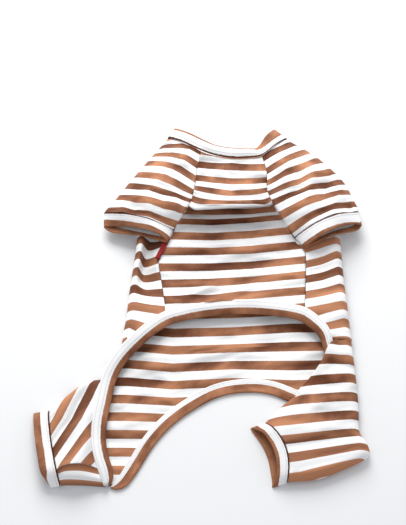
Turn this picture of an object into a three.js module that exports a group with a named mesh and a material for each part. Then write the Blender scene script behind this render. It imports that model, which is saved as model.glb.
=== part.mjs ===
// Striped jersey jumpsuit for a small dog, laid out flat on its back.
// X runs across the body to the right, Y from the tail to the neck, Z up from the table.
import * as THREE from 'three';

// Driving dimensions, in millimetres.
const CHEST_WIDTH = 220; // body between its two side folds
const BACK_LENGTH = 250; // rear hem seam to back neck seam, along the middle
const BODY_HEIGHT = 13; // belly layer above the table
const CHEST_HEIGHT = 37; // bib above the table
const SLEEVE_WIDTH = 76; // raglan seam to the sleeve's outer fold
const SLEEVE_HEIGHT = 14; // middle of the sleeve's outer fold above the table
const LEFT_LEG_LENGTH = 54; // open seat to the left cuff seam
const LEFT_LEG_WIDTH = 100; // far fold to near fold of the left leg
const LEFT_LEG_HEIGHT = 20; // crest of the left leg above the table
const RIGHT_LEG_LENGTH = 150; // belly arch to the bottom of the right leg
const RIGHT_LEG_WIDTH = 95; // inner fold to outer fold of the right leg
const RIGHT_LEG_HEIGHT = 14; // top of the right leg above the table
const CLOTH = 1.2; // thickness of the jersey
const BAND = 2.2; // thickness of a doubled band
const NECK_BAND_WIDTH = 20;
const SLEEVE_CUFF_WIDTH = 16;
const LEG_CUFF_WIDTH = 16;
const BINDING_WIDTH = 14;
const LABEL_LENGTH = 26;
const LABEL_WIDTH = 5;
const LABEL_THICKNESS = 0.8;
const FOLD_DEPTH = 5; // how far a side fold rounds in from its outermost line
const SEAM_GAP = 0.4; // clearance between two pieces that are sewn edge to edge
const LAYER_GAP = 0.5; // clearance between two pieces that lie on each other

const UP = new THREE.Vector3(0, 0, 1);
const ON_TABLE = CLOTH / 2;

const BROWN = 0xa8704f;
const WHITE = 0xf4f3f2;
const RED = 0xb3202c;

const cloth = (color) => new THREE.MeshStandardMaterial({ color, roughness: 0.9, metalness: 0 });

// A point from shares of the body's width and length, and a height in millimetres.
const at = (across, along, up) => (
  new THREE.Vector3(across * CHEST_WIDTH, along * BACK_LENGTH, up)
);

const between = (a, b, share) => new THREE.Vector3().lerpVectors(a, b, share);

// A smooth line through points, with a number of steps for each span between them.
function smoothLine(points, steps, closed = false) {
  const curve = new THREE.CatmullRomCurve3(points, closed, 'centripetal');
  const spans = closed ? points.length : points.length - 1;
  const line = [];
  for (let span = 0; span < spans; span += 1) {
    for (let step = 0; step < steps[span]; step += 1) {
      line.push(curve.getPoint((span + step / steps[span]) / spans));
    }
  }
  if (!closed) line.push(points[spans].clone());
  return line;
}

// A smooth grid through rows of points. Rows run across, and may close into rings.
function smoothGrid(rows, acrossSteps, alongSteps, closed = false) {
  const lines = rows.map((row) => smoothLine(row, acrossSteps, closed));
  const columns = lines[0].map((_, c) => smoothLine(lines.map((line) => line[c]), alongSteps));
  return columns[0].map((_, r) => columns.map((column) => column[r]));
}

// The cells of a grid, as the four corners of each cell that is kept.
function gridCells(grid, closed, keep) {
  const wide = grid[0].length;
  const cells = [];
  for (let r = 0; r + 1 < grid.length; r += 1) {
    for (let c = 0; c < (closed ? wide : wide - 1); c += 1) {
      const next = (c + 1) % wide;
      if (keep(r, c)) {
        cells.push([r * wide + c, r * wide + next, (r + 1) * wide + next, (r + 1) * wide + c]);
      }
    }
  }
  return cells;
}

// Each corner's normal is the mean of the cells round it. A rim may state its own instead.
function cornerNormals(points, cells) {
  const normals = points.map(() => new THREE.Vector3());
  for (const [a, b, c, d] of cells) {
    const first = new THREE.Vector3().subVectors(points[c], points[a]);
    const second = new THREE.Vector3().subVectors(points[d], points[b]);
    const normal = first.cross(second);
    for (const corner of [a, b, c, d]) normals[corner].add(normal);
  }
  return normals.map((normal) => normal.normalize());
}

// A cell as two triangles, split along its shorter diagonal.
function cellTriangles(points, [a, b, c, d]) {
  if (points[a].distanceTo(points[c]) <= points[b].distanceTo(points[d])) {
    return [[a, b, c], [a, c, d]];
  }
  return [[a, b, d], [b, c, d]];
}

// A closed wall of even thickness, with the grid as its middle surface, lying on the table
// where it would reach below it.
function clothWall(grid, thickness, { closed = false, keep = () => true, upright = () => false } = {}) {
  const points = grid.flat().map((point) => (
    point.clone().setZ(Math.max(point.z, thickness / 2))
  ));
  const wide = grid[0].length;
  const cells = gridCells(grid, closed, keep);
  const normals = cornerNormals(points, cells);
  const sides = [[], []];
  points.forEach((point, i) => {
    let normal = normals[i];
    if (upright(Math.floor(i / wide), i % wide)) {
      normal = UP.clone().multiplyScalar(Math.sign(normal.z) || 1);
    }
    sides[0].push(point.clone().addScaledVector(normal, thickness / 2));
    sides[1].push(point.clone().addScaledVector(normal, -thickness / 2));
  });
  const edges = new Map();
  const corners = [];
  const add = (side, i) => corners.push(sides[side][i]);
  for (const cell of cells) {
    for (const [a, b, c] of cellTriangles(points, cell)) {
      for (const i of [a, b, c]) add(0, i);
      for (const i of [a, c, b]) add(1, i);
      for (const [from, to] of [[a, b], [b, c], [c, a]]) {
        if (!edges.delete(`${to}-${from}`)) edges.set(`${from}-${to}`, [from, to]);
      }
    }
  }
  for (const [from, to] of edges.values()) {
    add(0, to);
    add(0, from);
    add(1, from);
    add(0, to);
    add(1, from);
    add(1, to);
  }
  const geometry = new THREE.BufferGeometry().setFromPoints(corners);
  geometry.computeVertexNormals();
  return geometry;
}

// The body's side seams and folds, from the back armhole down to the ends of the belly arch.
// left and right are places along the body; the others are places across it and heights.
const BODY_ROWS = [
  { left: 0.76, right: 0.76, seamL: -0.434, foldL: -0.455, foldR: 0.473, seamR: 0.452,
    seamUp: 0.3, dipL: 0.28, dipR: 0.28, foldUp: 0.3 },
  { left: 0.71, right: 0.69, seamL: -0.375, foldL: -0.468, foldR: 0.482, seamR: 0.37,
    seamUp: 0.62, dipL: 0.5, dipR: 0.55, foldUp: 0.5 },
  { left: 0.66, right: 0.624, seamL: -0.305, foldL: -0.475, foldR: 0.486, seamR: 0.268,
    seamUp: 1.1, dipL: 0.7, dipR: 0.85, foldUp: 0.72 },
  { left: 0.576, right: 0.56, seamL: -0.36, foldL: -0.48, foldR: 0.488, seamR: 0.316,
    seamUp: 1.03, dipL: 0.45, dipR: 0.9, foldUp: 0.95 },
  { left: 0.52, right: 0.52, seamL: -0.372, foldL: -0.487, foldR: 0.489, seamR: 0.318,
    seamUp: 1, dipL: 0.45, dipR: 0.9, foldUp: 1 },
  { left: 0.432, right: 0.432, seamL: -0.358, foldL: -0.498, foldR: 0.492, seamR: 0.313,
    seamUp: 1, dipL: 0.55, dipR: 0.9, foldUp: 1 },
  { left: 0.352, right: 0.352, seamL: -0.345, foldL: -0.507, foldR: 0.498, seamR: 0.308,
    seamUp: 1, dipL: 0.85, dipR: 0.95, foldUp: 1 },
  { left: 0.29, right: 0.3, seamL: -0.337, foldL: -0.512, foldR: 0.501, seamR: 0.305,
    seamUp: 1, dipL: 1, dipR: 1, foldUp: 1 },
  { left: 0.24, right: 0.256, seamL: -0.395, foldL: -0.517, foldR: 0.503, seamR: 0.364,
    seamUp: 1, dipL: 1, dipR: 1, foldUp: 1 },
  { left: 0.184, right: 0.204, seamL: -0.46, foldL: -0.526, foldR: 0.506, seamR: 0.407,
    seamUp: 1, dipL: 1, dipR: 1, foldUp: 0.95 },
  { left: 0.14, right: 0.164, seamL: -0.521, foldL: -0.533, foldR: 0.508, seamR: 0.414,
    seamUp: 0.88, dipL: 0.88, dipR: 0.95, foldUp: 0.88 },
];
const ARMPIT_ROW = 2;
const ARCH_ROW = 7;

// Loose belly between the side seams: how far each row bows up the body, and how high it lies.
// Each row belongs to the body row of the same place, from the armpits down to the arch.
const BELLY_ROWS = [
  { bow: 0.014, up: 1.05, flatness: 6 },
  { bow: 0, up: 0.98, flatness: 4 },
  { bow: -0.006, up: 0.95, flatness: 3 },
  { bow: -0.006, up: 0.93, flatness: 3 },
  { bow: 0.008, up: 0.95, flatness: 2 },
  { bow: 0.035, up: 1, flatness: 2 },
];

// The bib, from the neck down to the armpits. The middle folds over on itself between the
// rows where midAlong turns back, while the raglan seams run straight down beside it.
const BIB_ROWS = [
  { leftX: -0.173, leftY: 1, leftUp: 1, rightX: 0.12, rightY: 0.976, rightUp: 1,
    midY: 0.964, midUp: 0.99, flatness: 2 },
  { leftX: -0.195, leftY: 0.888, leftUp: 1, rightX: 0.141, rightY: 0.896, rightUp: 1,
    midY: 0.885, midUp: 1.03, flatness: 2 },
  { leftX: -0.209, leftY: 0.792, leftUp: 0.97, rightX: 0.141, rightY: 0.8, rightUp: 1,
    midY: 0.785, midUp: 1, flatness: 4 },
  { leftX: -0.23, leftY: 0.73, leftUp: 0.92, rightX: 0.16, rightY: 0.752, rightUp: 0.96,
    midY: 0.716, midUp: 0.96, flatness: 8 },
  { leftX: -0.236, leftY: 0.722, leftUp: 0.88, rightX: 0.165, rightY: 0.742, rightUp: 0.935,
    midY: 0.73, midUp: 0.84, flatness: 8 },
  { leftX: -0.248, leftY: 0.712, leftUp: 0.82, rightX: 0.176, rightY: 0.728, rightUp: 0.89,
    midY: 0.785, midUp: 0.68, flatness: 8 },
  { leftX: -0.26, leftY: 0.703, leftUp: 0.75, rightX: 0.19, rightY: 0.712, rightUp: 0.84,
    midY: 0.81, midUp: 0.54, flatness: 8 },
  { leftX: -0.272, leftY: 0.693, leftUp: 0.66, rightX: 0.205, rightY: 0.692, rightUp: 0.76,
    midY: 0.785, midUp: 0.42, flatness: 8 },
  { leftX: -0.288, leftY: 0.678, leftUp: 0.53, rightX: 0.232, rightY: 0.664, rightUp: 0.62,
    midY: 0.72, midUp: 0.38, flatness: 8 },
];
const SLEEVE_SEAM_ROWS = [0, 1, 2, 3, 6, 8]; // bib rows that a sleeve's section starts from

// The back between the neck and the armholes, flat on the table.
const SHOULDER_ROWS = [
  { left: 1.024, right: 1.024, leftX: -0.155, rightX: 0.11, sag: 0.02 },
  { left: 0.936, right: 0.936, leftX: -0.25, rightX: 0.227, sag: 0.01 },
  { left: 0.848, right: 0.848, leftX: -0.345, rightX: 0.341, sag: 0 },
];

// Sleeve sections, from the neck to the armpit: the outer fold's place from the raglan seam in
// shares of the sleeve's width, its height and the height of the cloth underneath.
const SLEEVE_ROWS = {
  left: [
    { out: 0.474, rise: 0.355, foldUp: 1.5, crown: 0.02, under: 0.3 },
    { out: 0.71, rise: 0.342, foldUp: 1.25, crown: 0.05, under: 0.25 },
    { out: 0.92, rise: 0.316, foldUp: 1.08, crown: 0.06, under: 0.25 },
    { out: 1.02, rise: 0.265, foldUp: 1, crown: 0.06, under: 0.3 },
    { out: 1, rise: 0.27, foldUp: 0.98, crown: 0.06, under: 0.5 },
    { out: 0.97, rise: 0.3, foldUp: 0.97, crown: 0.09, under: 0.7 },
    { out: 0.955, rise: 0.3, foldUp: 0.95, crown: 0.12, under: 0.92 },
  ],
  right: [
    { out: 0.375, rise: 0.42, foldUp: 1.5, crown: 0.02, under: 0.3 },
    { out: 0.724, rise: 0.42, foldUp: 1.25, crown: 0.05, under: 0.25 },
    { out: 1.09, rise: 0.33, foldUp: 1.08, crown: 0.06, under: 0.25 },
    { out: 1.13, rise: 0.25, foldUp: 1.05, crown: 0.06, under: 0.3 },
    { out: 1.09, rise: 0.27, foldUp: 1.03, crown: 0.08, under: 0.5 },
    { out: 1, rise: 0.36, foldUp: 1, crown: 0.12, under: 0.75 },
    { out: 0.895, rise: 0.44, foldUp: 1, crown: 0.16, under: 0.98 },
  ],
};

// Which way each cuff leaves its sleeve, point by point round the ring from the armpit.
const SLEEVE_CUFF_ROWS = {
  left: [
    [-0.35, -0.9, 0.05], [0.35, -0.85, -0.2], [0.28, -0.85, -0.4], [0.15, -0.9, -0.3],
    [0.05, -0.95, -0.1], [0.1, -0.95, 0.05], [0, -0.95, 0.15],
  ],
  right: [
    [0.6, -0.75, 0], [0.45, -0.8, -0.15], [0.5, -0.75, -0.4], [0.3, -0.9, -0.2],
    [0.15, -0.95, -0.1], [0.2, -0.95, 0.05], [0.4, -0.85, 0.25],
  ],
};

// The left edge of the open seat, from the belly arch down to the crotch.
const SEAT_SIDE_ROWS = [
  { x: -0.524, y: 0.14, up: 0.88 },
  { x: -0.556, y: 0.1, up: 0.86 },
  { x: -0.596, y: 0.036, up: 0.84 },
  { x: -0.616, y: -0.03, up: 0.8 },
  { x: -0.626, y: -0.09, up: 0.75 },
  { x: -0.64, y: -0.16, up: 0.72 },
  { x: -0.645, y: -0.23, up: 0.72 },
  { x: -0.637, y: -0.3, up: 0.7 },
  { x: -0.612, y: -0.37, up: 0.62 },
  { x: -0.58, y: -0.436, up: 0.4 },
];
const LEG_FOLD_ROW = 3; // where the left leg's far fold leaves the seat

// The right edge of the open seat: the back's edge on the table, and the leg's fold over it.
const SEAT_FOLD_ROWS = [
  { x: 0.44, y: 0.12, topX: 0.416, topY: 0.15, up: 1.12 },
  { x: 0.385, y: 0.05, topX: 0.366, topY: 0.064, up: 1 },
  { x: 0.328, y: -0.02, topX: 0.302, topY: -0.014, up: 0.85 },
  { x: 0.293, y: -0.058, topX: 0.25, topY: -0.068, up: 0.85 },
];

// The rear hem, from the left crotch over its arch to the right crotch.
const REAR_HEM_ROWS = [
  { x: -0.556, y: -0.44 },
  { x: -0.486, y: -0.344 },
  { x: -0.405, y: -0.22 },
  { x: -0.323, y: -0.14 },
  { x: -0.241, y: -0.084 },
  { x: -0.164, y: -0.04 },
  { x: -0.086, y: -0.012 },
  { x: 0.032, y: 0.004 },
  { x: 0.145, y: -0.004 },
  { x: 0.225, y: -0.028 },
  { x: 0.272, y: -0.052 },
];

// The part of the belly binding that lies hidden inside the right leg.
const HIDDEN_BINDING_ROWS = [
  { x: 0.36, y: -0.03, up: 0.36 },
  { x: 0.4, y: 0.015, up: 0.42 },
  { x: 0.428, y: 0.08, up: 0.55 },
];

// Left leg sections, from the seat to the cuff seam, in shares of the leg's length and width.
const LEFT_LEG_ROWS = [
  { farOut: 0.31, farDrop: 0.065, nearOut: 0.44, bow: -0.03, up: 0.75, crest: 0.95 },
  { farOut: 0.61, farDrop: 0.185, nearOut: 0.7, bow: 0.02, up: 0.78, crest: 1 },
  { farOut: 0.945, farDrop: 0.335, nearOut: 0.82, bow: 0.02, up: 0.7, crest: 0.85 },
];

// Right leg sections, from the belly arch to the cuff seam, in shares of the leg's size.
const RIGHT_LEG_ROWS = [
  { outX: 0.02, outY: -0.235, inX: -0.04, inY: -0.03, bow: 0, up: 0.92, tuck: 0.14 },
  { outX: 0.03, outY: -0.465, inX: -0.14, inY: -0.08, bow: 0, up: 0.95, tuck: 0.13 },
  { outX: 0.04, outY: -0.68, inX: -0.225, inY: -0.13, bow: 0, up: 1 },
  { outX: 0.085, outY: -0.79, inX: -0.27, inY: -0.16, bow: 0, up: 1 },
  { outX: -0.135, outY: -0.89, inX: -0.295, inY: -0.175, bow: 0.04, up: 1 },
  { outX: -0.42, outY: -0.945, inX: -0.31, inY: -0.185, bow: 0.07, up: 1 },
  { outX: -0.715, outY: -1.01, inX: -0.32, inY: -0.195, bow: 0.095, up: 1 },
];

const LEG_CUFF_ROWS = { left: [-1, -0.08, -0.25], right: [-0.92, -0.22, -0.35] };

// The neck ring, from the bib's left corner over the left sleeve to the back and round: which
// way the band leaves the seam, in degrees, and how far it crests and ends above or below it,
// in shares of its width.
const NECK_ROWS = [
  { seam: 'leftFront', turn: 72, crest: 0.175, free: -0.2 },
  { seam: 'leftTop', turn: 58, crest: 0.175, free: -0.1 },
  { seam: 'leftFold', turn: 60, crest: 0.05, free: 0 },
  { seam: 'leftUnder', turn: 75, crest: 0, free: 0 },
  { seam: 'leftBack', turn: 88, crest: 0, free: 0 },
  { seam: 'back', turn: 90, crest: 0, free: 0 },
  { seam: 'rightBack', turn: 92, crest: 0, free: 0 },
  { seam: 'rightUnder', turn: 112, crest: 0, free: 0 },
  { seam: 'rightFold', turn: 138, crest: 0.05, free: 0.05 },
  { seam: 'rightTop', turn: 136, crest: 0.15, free: 0.05 },
  { seam: 'rightFront', turn: 115, crest: 0.175, free: -0.1 },
  { seam: 'bibRight', turn: 98, crest: 0.175, free: -0.2 },
  { seam: 'bibMiddle', turn: 90, crest: 0.175, free: -0.25 },
  { seam: 'bibLeft', turn: 84, crest: 0.175, free: -0.25 },
];
const BACK_NECK = 1.004; // how far up the body the middle of the back neck seam lies

// Across the front panel, a flattened leg and an edge band: the shares where each is stated.
const FRONT_SHARES = [0, 0.08, 0.2, 0.35, 0.5, 0.65, 0.8, 0.92, 1];
const LEG_SHARES = [0.2, 0.42, 0.64, 0.84];
const BAND_SHARES = [0, 0.3, 0.65, 1];

// Heights over a leg's top from its outer to its inner fold, in shares of the leg's height.
const LEFT_LEG_TOP = [0.65, 0.8, 0.88, 1];
const RIGHT_LEG_TOP = [0.8, 0.95, 1, 1, 0.95, 0.75];
const TUCKED_FOLD_UP = 0.8; // height of a fold whose under layer is tucked in behind it
const FOLD_ROUND = 0.8; // how far a sleeve's fold opens above and below its outermost line

// The label hangs from a place between the armpit and the next row, along its own direction.
const LABEL_PLACE = 0.8;
const LABEL_RUN = new THREE.Vector3(-0.45, -1, -0.03).normalize();

// Smoothing steps for each span of a piece's rows, and from row to row.
const FRONT_ACROSS = [1, 2, 2, 3, 3, 2, 2, 1];
const FRONT_ALONG = [2, 2, 2, 1, 1, 1, 1, 1, 1, 1, 1, 1, 1, 1];
const SLEEVE_ACROSS = [2, 3, 2, 2, 2, 3, 3];
const SLEEVE_ALONG = [3, 3, 2, 2, 1, 1];
const SLEEVE_CUFF_STEPS = [3, 3, 2, 2, 2, 2, 3];
const LEG_AROUND = [1, 2, 2, 2, 2, 2, 1, 1, 2, 2, 2, 2, 2, 1];
const LEFT_LEG_ALONG = [3, 3, 3];
const RIGHT_LEG_ALONG = [2, 2, 2, 1, 2, 2, 1];

const left = -1;
const right = 1;

function seamPoint(row, side) {
  const across = side === left ? row.seamL : row.seamR;
  return at(across, side === left ? row.left : row.right, row.seamUp * BODY_HEIGHT);
}

// From a side seam, over the side strip and round the fold to the back layer.
function sideStrip(row, side) {
  const fold = side === left ? row.foldL : row.foldR;
  const dip = side === left ? row.dipL : row.dipR;
  const along = side === left ? row.left : row.right;
  const seam = seamPoint(row, side);
  const up = row.foldUp * BODY_HEIGHT;
  const edge = at(fold, along, up / 2);
  const depth = Math.min(FOLD_DEPTH, Math.abs(seam.x - edge.x) / 2 + CLOTH);
  const ridge = edge.clone().setX(edge.x - side * depth).setZ(up);
  const corner = edge.clone().setX(edge.x - side * FOLD_DEPTH).setZ(ON_TABLE);
  const valley = between(seam, ridge, 1 / 2).setZ(dip * BODY_HEIGHT);
  return [seam, valley, ridge, edge, corner];
}

const BACK_SPANS = 8; // spans of the back layer between its two corners
const LEFT_CORNER = 4; // the back layer's first point in a body row

// The wall of cloth at the seat's left edge, which curls over to the binding on top.
const RISER = [
  { back: 0, up: 1 },
  { back: 1.2, up: 0.92 },
  { back: 1.8, up: 0.7 },
  { back: 1.6, up: 0.35 },
];

const seatFoot = () => SEAT_FOLD_ROWS.map((p) => at(p.x, p.y, ON_TABLE));

function backLayer(from, to, sag = 0) {
  const row = [];
  for (let i = 1; i < BACK_SPANS; i += 1) {
    const share = i / BACK_SPANS;
    const point = between(from, to, share);
    point.y -= sag * BACK_LENGTH * 4 * share * (1 - share);
    row.push(point);
  }
  return row;
}

function bodyRow(row) {
  const leftSide = sideStrip(row, left);
  const rightSide = sideStrip(row, right).reverse();
  return [...leftSide, ...backLayer(leftSide[4], rightSide[0]), ...rightSide];
}

function shoulderRow(row) {
  const from = at(row.leftX, row.left, ON_TABLE);
  const to = at(row.rightX, row.right, ON_TABLE);
  const spread = (corner) => [0, 1, 2, 3, 4].map(() => corner.clone());
  return [...spread(from), ...backLayer(from, to, row.sag), ...spread(to)];
}

const curveOf = (points) => new THREE.CatmullRomCurve3(points, false, 'centripetal');

// The seat: the back layer between the body's last row and the rear hem.
function seatRows(lastRow) {
  const top = curveOf(lastRow.slice(LEFT_CORNER, LEFT_CORNER + BACK_SPANS + 1));
  const side = SEAT_SIDE_ROWS.map((p) => at(p.x, p.y, ON_TABLE));
  const inner = side.map((p) => p.clone().setX(p.x + SEAM_GAP));
  const fold = curveOf([top.getPoint(1), ...seatFoot()]);
  const hem = curveOf(REAR_HEM_ROWS.map((p) => at(p.x, p.y, ON_TABLE)));
  inner[0] = top.getPoint(0);
  inner[inner.length - 1] = hem.getPoint(0);
  const foldStart = top.getPoint(1);
  const foldEnd = hem.getPoint(1);
  const rows = [];
  for (let r = 1; r < inner.length; r += 1) {
    const t = r / (inner.length - 1);
    const fromSide = inner[r];
    const onFold = r === inner.length - 1 ? foldEnd : fold.getPoint(t);
    const row = [];
    for (let c = 0; c <= BACK_SPANS; c += 1) {
      const s = c / BACK_SPANS;
      const ruled = between(top.getPoint(s), hem.getPointAt(s), t);
      const across = between(fromSide, onFold, s);
      const cornersTop = between(inner[0], foldStart, s);
      const cornersHem = between(inner[inner.length - 1], foldEnd, s);
      row.push(ruled.add(across).sub(between(cornersTop, cornersHem, t)));
    }
    const riser = SEAT_SIDE_ROWS[r];
    const foot = at(riser.x, riser.y, ON_TABLE);
    const rise = r <= LEG_FOLD_ROW ? riser.up * BODY_HEIGHT : 0;
    const wall = RISER.map(({ back, up }) => (
      foot.clone().setX(foot.x - back * CLOTH).setZ(Math.max(up * rise, ON_TABLE))
    ));
    if (r <= LEG_FOLD_ROW) row[0].x = foot.x + FOLD_DEPTH / 4;
    rows.push([...wall, ...row, ...[0, 1, 2, 3].map(() => row[BACK_SPANS].clone())]);
  }
  return rows;
}

function backGrid() {
  const body = BODY_ROWS.map(bodyRow);
  const seat = seatRows(body[body.length - 1]);
  const rows = [...SHOULDER_ROWS.map(shoulderRow), ...body, ...seat];
  const grid = rows.map((row) => smoothLine(row, row.slice(1).map(() => 2)));
  const shoulders = SHOULDER_ROWS.length;
  const bodyEnd = shoulders + body.length - 1;
  const leftCorner = LEFT_CORNER * 2;
  const rightCorner = leftCorner + BACK_SPANS * 2;
  const last = grid[0].length - 1;
  const keep = (r, c) => {
    const onBack = c >= leftCorner && c < rightCorner;
    if (r < shoulders) return onBack;
    if (r < bodyEnd) return true;
    if (r < bodyEnd + LEG_FOLD_ROW) return c < rightCorner;
    return onBack;
  };
  const upright = (r, c) => (c === 0 || c === last) && r >= shoulders;
  const hem = grid[grid.length - 1].slice(leftCorner, rightCorner + 1);
  return { grid, keep, upright, hem };
}

function backPanel() {
  const { grid, keep, upright } = backGrid();
  return clothWall(grid, CLOTH, { keep, upright });
}

// A row of the front panel between its two seams, which bows in the middle.
function frontRow(from, to, middle, flatness) {
  const centre = between(from, to, 1 / 2);
  return FRONT_SHARES.map((share) => {
    const weight = 1 - Math.abs(2 * share - 1) ** flatness;
    const point = between(from, to, share);
    point.y += (middle.y - centre.y) * weight;
    point.z += (middle.z - centre.z) * weight;
    return point;
  });
}

const bibSeam = (row, side) => (side === left
  ? at(row.leftX, row.leftY, row.leftUp * CHEST_HEIGHT)
  : at(row.rightX, row.rightY, row.rightUp * CHEST_HEIGHT));

function frontRows() {
  const bib = BIB_ROWS.map((row) => frontRow(
    bibSeam(row, left),
    bibSeam(row, right),
    at(0, row.midY, row.midUp * CHEST_HEIGHT),
    row.flatness,
  ));
  const belly = BELLY_ROWS.map((loose, i) => {
    const row = BODY_ROWS[ARMPIT_ROW + i];
    const from = seamPoint(row, left);
    const to = seamPoint(row, right);
    const middle = at(0, (row.left + row.right) / 2 + loose.bow, loose.up * BODY_HEIGHT);
    from.x += SEAM_GAP;
    to.x -= SEAM_GAP;
    return frontRow(from, to, middle, loose.flatness);
  });
  return [...bib, ...belly];
}

const frontGrid = () => smoothGrid(frontRows(), FRONT_ACROSS, FRONT_ALONG);

function frontPanel() {
  const grid = frontGrid();
  const last = grid[0].length - 1;
  return clothWall(grid, CLOTH, { upright: (r, c) => c === 0 || c === last });
}

// The armhole edge of the back layer, from the neck to the armpit.
function armhole(side) {
  const shoulder = SHOULDER_ROWS.map((row) => (side === left
    ? at(row.leftX, row.left, ON_TABLE)
    : at(row.rightX, row.right, ON_TABLE)));
  const [foldEnd, overFold, armpit] = BODY_ROWS.slice(0, ARMPIT_ROW + 1)
    .map((row) => sideStrip(row, side));
  const lift = CLOTH + LAYER_GAP;
  const place = (point, up) => (
    point.clone().add(new THREE.Vector3(side * SEAM_GAP * 2, SEAM_GAP * 2, up))
  );
  return [
    ...shoulder.map((point) => place(point, 0)),
    place(between(shoulder[2], foldEnd[4], 0.55), 0),
    place(foldEnd[2], lift),
    place(overFold[0], lift),
    place(armpit[0], lift),
  ];
}

function sleeveRows(side) {
  const table = side === left ? SLEEVE_ROWS.left : SLEEVE_ROWS.right;
  const inner = SLEEVE_SEAM_ROWS.map((r) => bibSeam(BIB_ROWS[r], side));
  const armpit = seamPoint(BODY_ROWS[ARMPIT_ROW], side);
  inner.push(armpit.setZ(armpit.z + 2 * (CLOTH + LAYER_GAP)));
  const outer = armhole(side);
  return table.map((row, r) => {
    const seam = inner[r].clone();
    seam.x += side * SEAM_GAP * 1.5;
    seam.y += SEAM_GAP;
    const foldUp = row.foldUp * SLEEVE_HEIGHT;
    const fold = seam.clone().setZ(foldUp);
    fold.x += side * row.out * SLEEVE_WIDTH;
    fold.y += row.rise * SLEEVE_WIDTH;
    const crown = row.crown * SLEEVE_WIDTH;
    const inward = between(fold, seam, FOLD_DEPTH / SLEEVE_WIDTH);
    const top = inward.clone().setZ(foldUp + FOLD_DEPTH * FOLD_ROUND);
    const bottom = inward.clone().setZ(foldUp - FOLD_DEPTH * FOLD_ROUND);
    const first = between(seam, top, 1 / 3);
    first.z += crown;
    const second = between(seam, top, 2 / 3);
    second.z += crown;
    const under = between(bottom, outer[r], 1 / 2).setZ(row.under * SLEEVE_HEIGHT);
    return [seam, first, second, top, fold, bottom, under, outer[r]];
  });
}

function sleeve(side) {
  const grid = smoothGrid(sleeveRows(side), SLEEVE_ACROSS, SLEEVE_ALONG);
  return clothWall(grid, CLOTH, { upright: (r, c) => c === 0 });
}

// A band that closes into a ring, from its seam ring to its free edge.
function ringBand(seamRing, directions, width, steps) {
  const free = seamRing.map((point, i) => (
    point.clone().addScaledVector(directions[i].clone().normalize(), width)
  ));
  const start = seamRing.map((point, i) => (
    point.clone().addScaledVector(directions[i].clone().normalize(), SEAM_GAP * 2)
  ));
  const middle = start.map((point, i) => between(point, free[i], 1 / 2));
  const rows = [start, middle, free];
  const grid = smoothGrid(rows, steps, [2, 2], true);
  return clothWall(grid, BAND, { closed: true });
}

function sleeveCuff(side) {
  const rows = sleeveRows(side);
  const end = rows[rows.length - 1];
  const ring = [between(end[0], end[7], 1 / 2), ...end.slice(1, 7)];
  const table = side === left ? SLEEVE_CUFF_ROWS.left : SLEEVE_CUFF_ROWS.right;
  const directions = table.map((d) => new THREE.Vector3(...d));
  return ringBand(ring, directions, SLEEVE_CUFF_WIDTH, SLEEVE_CUFF_STEPS);
}

// A flattened ring of cloth between two folds: over the top, then back along the table.
function legRing(outer, inner, bow, heights, tuck = 0) {
  const across = new THREE.Vector3().subVectors(inner, outer);
  const length = across.length();
  const sideways = new THREE.Vector3(-across.y, across.x, 0).normalize();
  const place = (share, up) => {
    const point = between(outer, inner, share).setZ(up);
    return point.addScaledVector(sideways, bow * 4 * share * (1 - share));
  };
  const depth = FOLD_DEPTH / length;
  const shares = [depth, ...LEG_SHARES, 1 - depth];
  const top = shares.map((share, i) => place(share, heights[i]));
  const table = [...shares].reverse().map((share) => (
    place(Math.min(share, 1 - depth - tuck), ON_TABLE)
  ));
  if (tuck) table[1] = place(shares[4] - tuck, ON_TABLE);
  return [
    place(0, heights[0] / 2),
    ...top,
    place(1, heights[5] * (tuck ? TUCKED_FOLD_UP : 1 / 2)),
    ...table,
  ];
}

function leftLegRows() {
  const side = SEAT_SIDE_ROWS.map((p) => at(p.x, p.y, p.up * BODY_HEIGHT));
  side.forEach((point) => point.add(new THREE.Vector3(-SEAM_GAP, 0, 0)));
  side[LEG_FOLD_ROW].y -= CLOTH;
  const far = side[LEG_FOLD_ROW];
  const near = side[side.length - 1];
  const seam = curveOf(side.slice(LEG_FOLD_ROW));
  const depth = FOLD_DEPTH / LEFT_LEG_WIDTH;
  const shares = [depth, ...LEG_SHARES, 1 - depth];
  const onSeam = (share, up) => {
    const point = seam.getPoint(share);
    return up === undefined ? point : point.setZ(up);
  };
  const first = [
    onSeam(0, far.z / 2),
    ...shares.map((share) => onSeam(share)),
    onSeam(1, near.z / 2),
    ...[...shares].reverse().map((share) => onSeam(share, ON_TABLE)),
  ];
  const rings = LEFT_LEG_ROWS.map((row) => {
    const farPoint = far.clone();
    farPoint.x -= row.farOut * LEFT_LEG_LENGTH;
    farPoint.y -= row.farDrop * LEFT_LEG_WIDTH;
    const nearPoint = near.clone();
    nearPoint.x -= row.nearOut * LEFT_LEG_LENGTH;
    const up = row.up * LEFT_LEG_HEIGHT;
    const crest = row.crest * LEFT_LEG_HEIGHT;
    const heights = [...LEFT_LEG_TOP.map((share) => up * share), crest, crest * 0.75];
    return legRing(farPoint, nearPoint, -row.bow * LEFT_LEG_WIDTH, heights);
  });
  return [first, ...rings];
}

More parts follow.
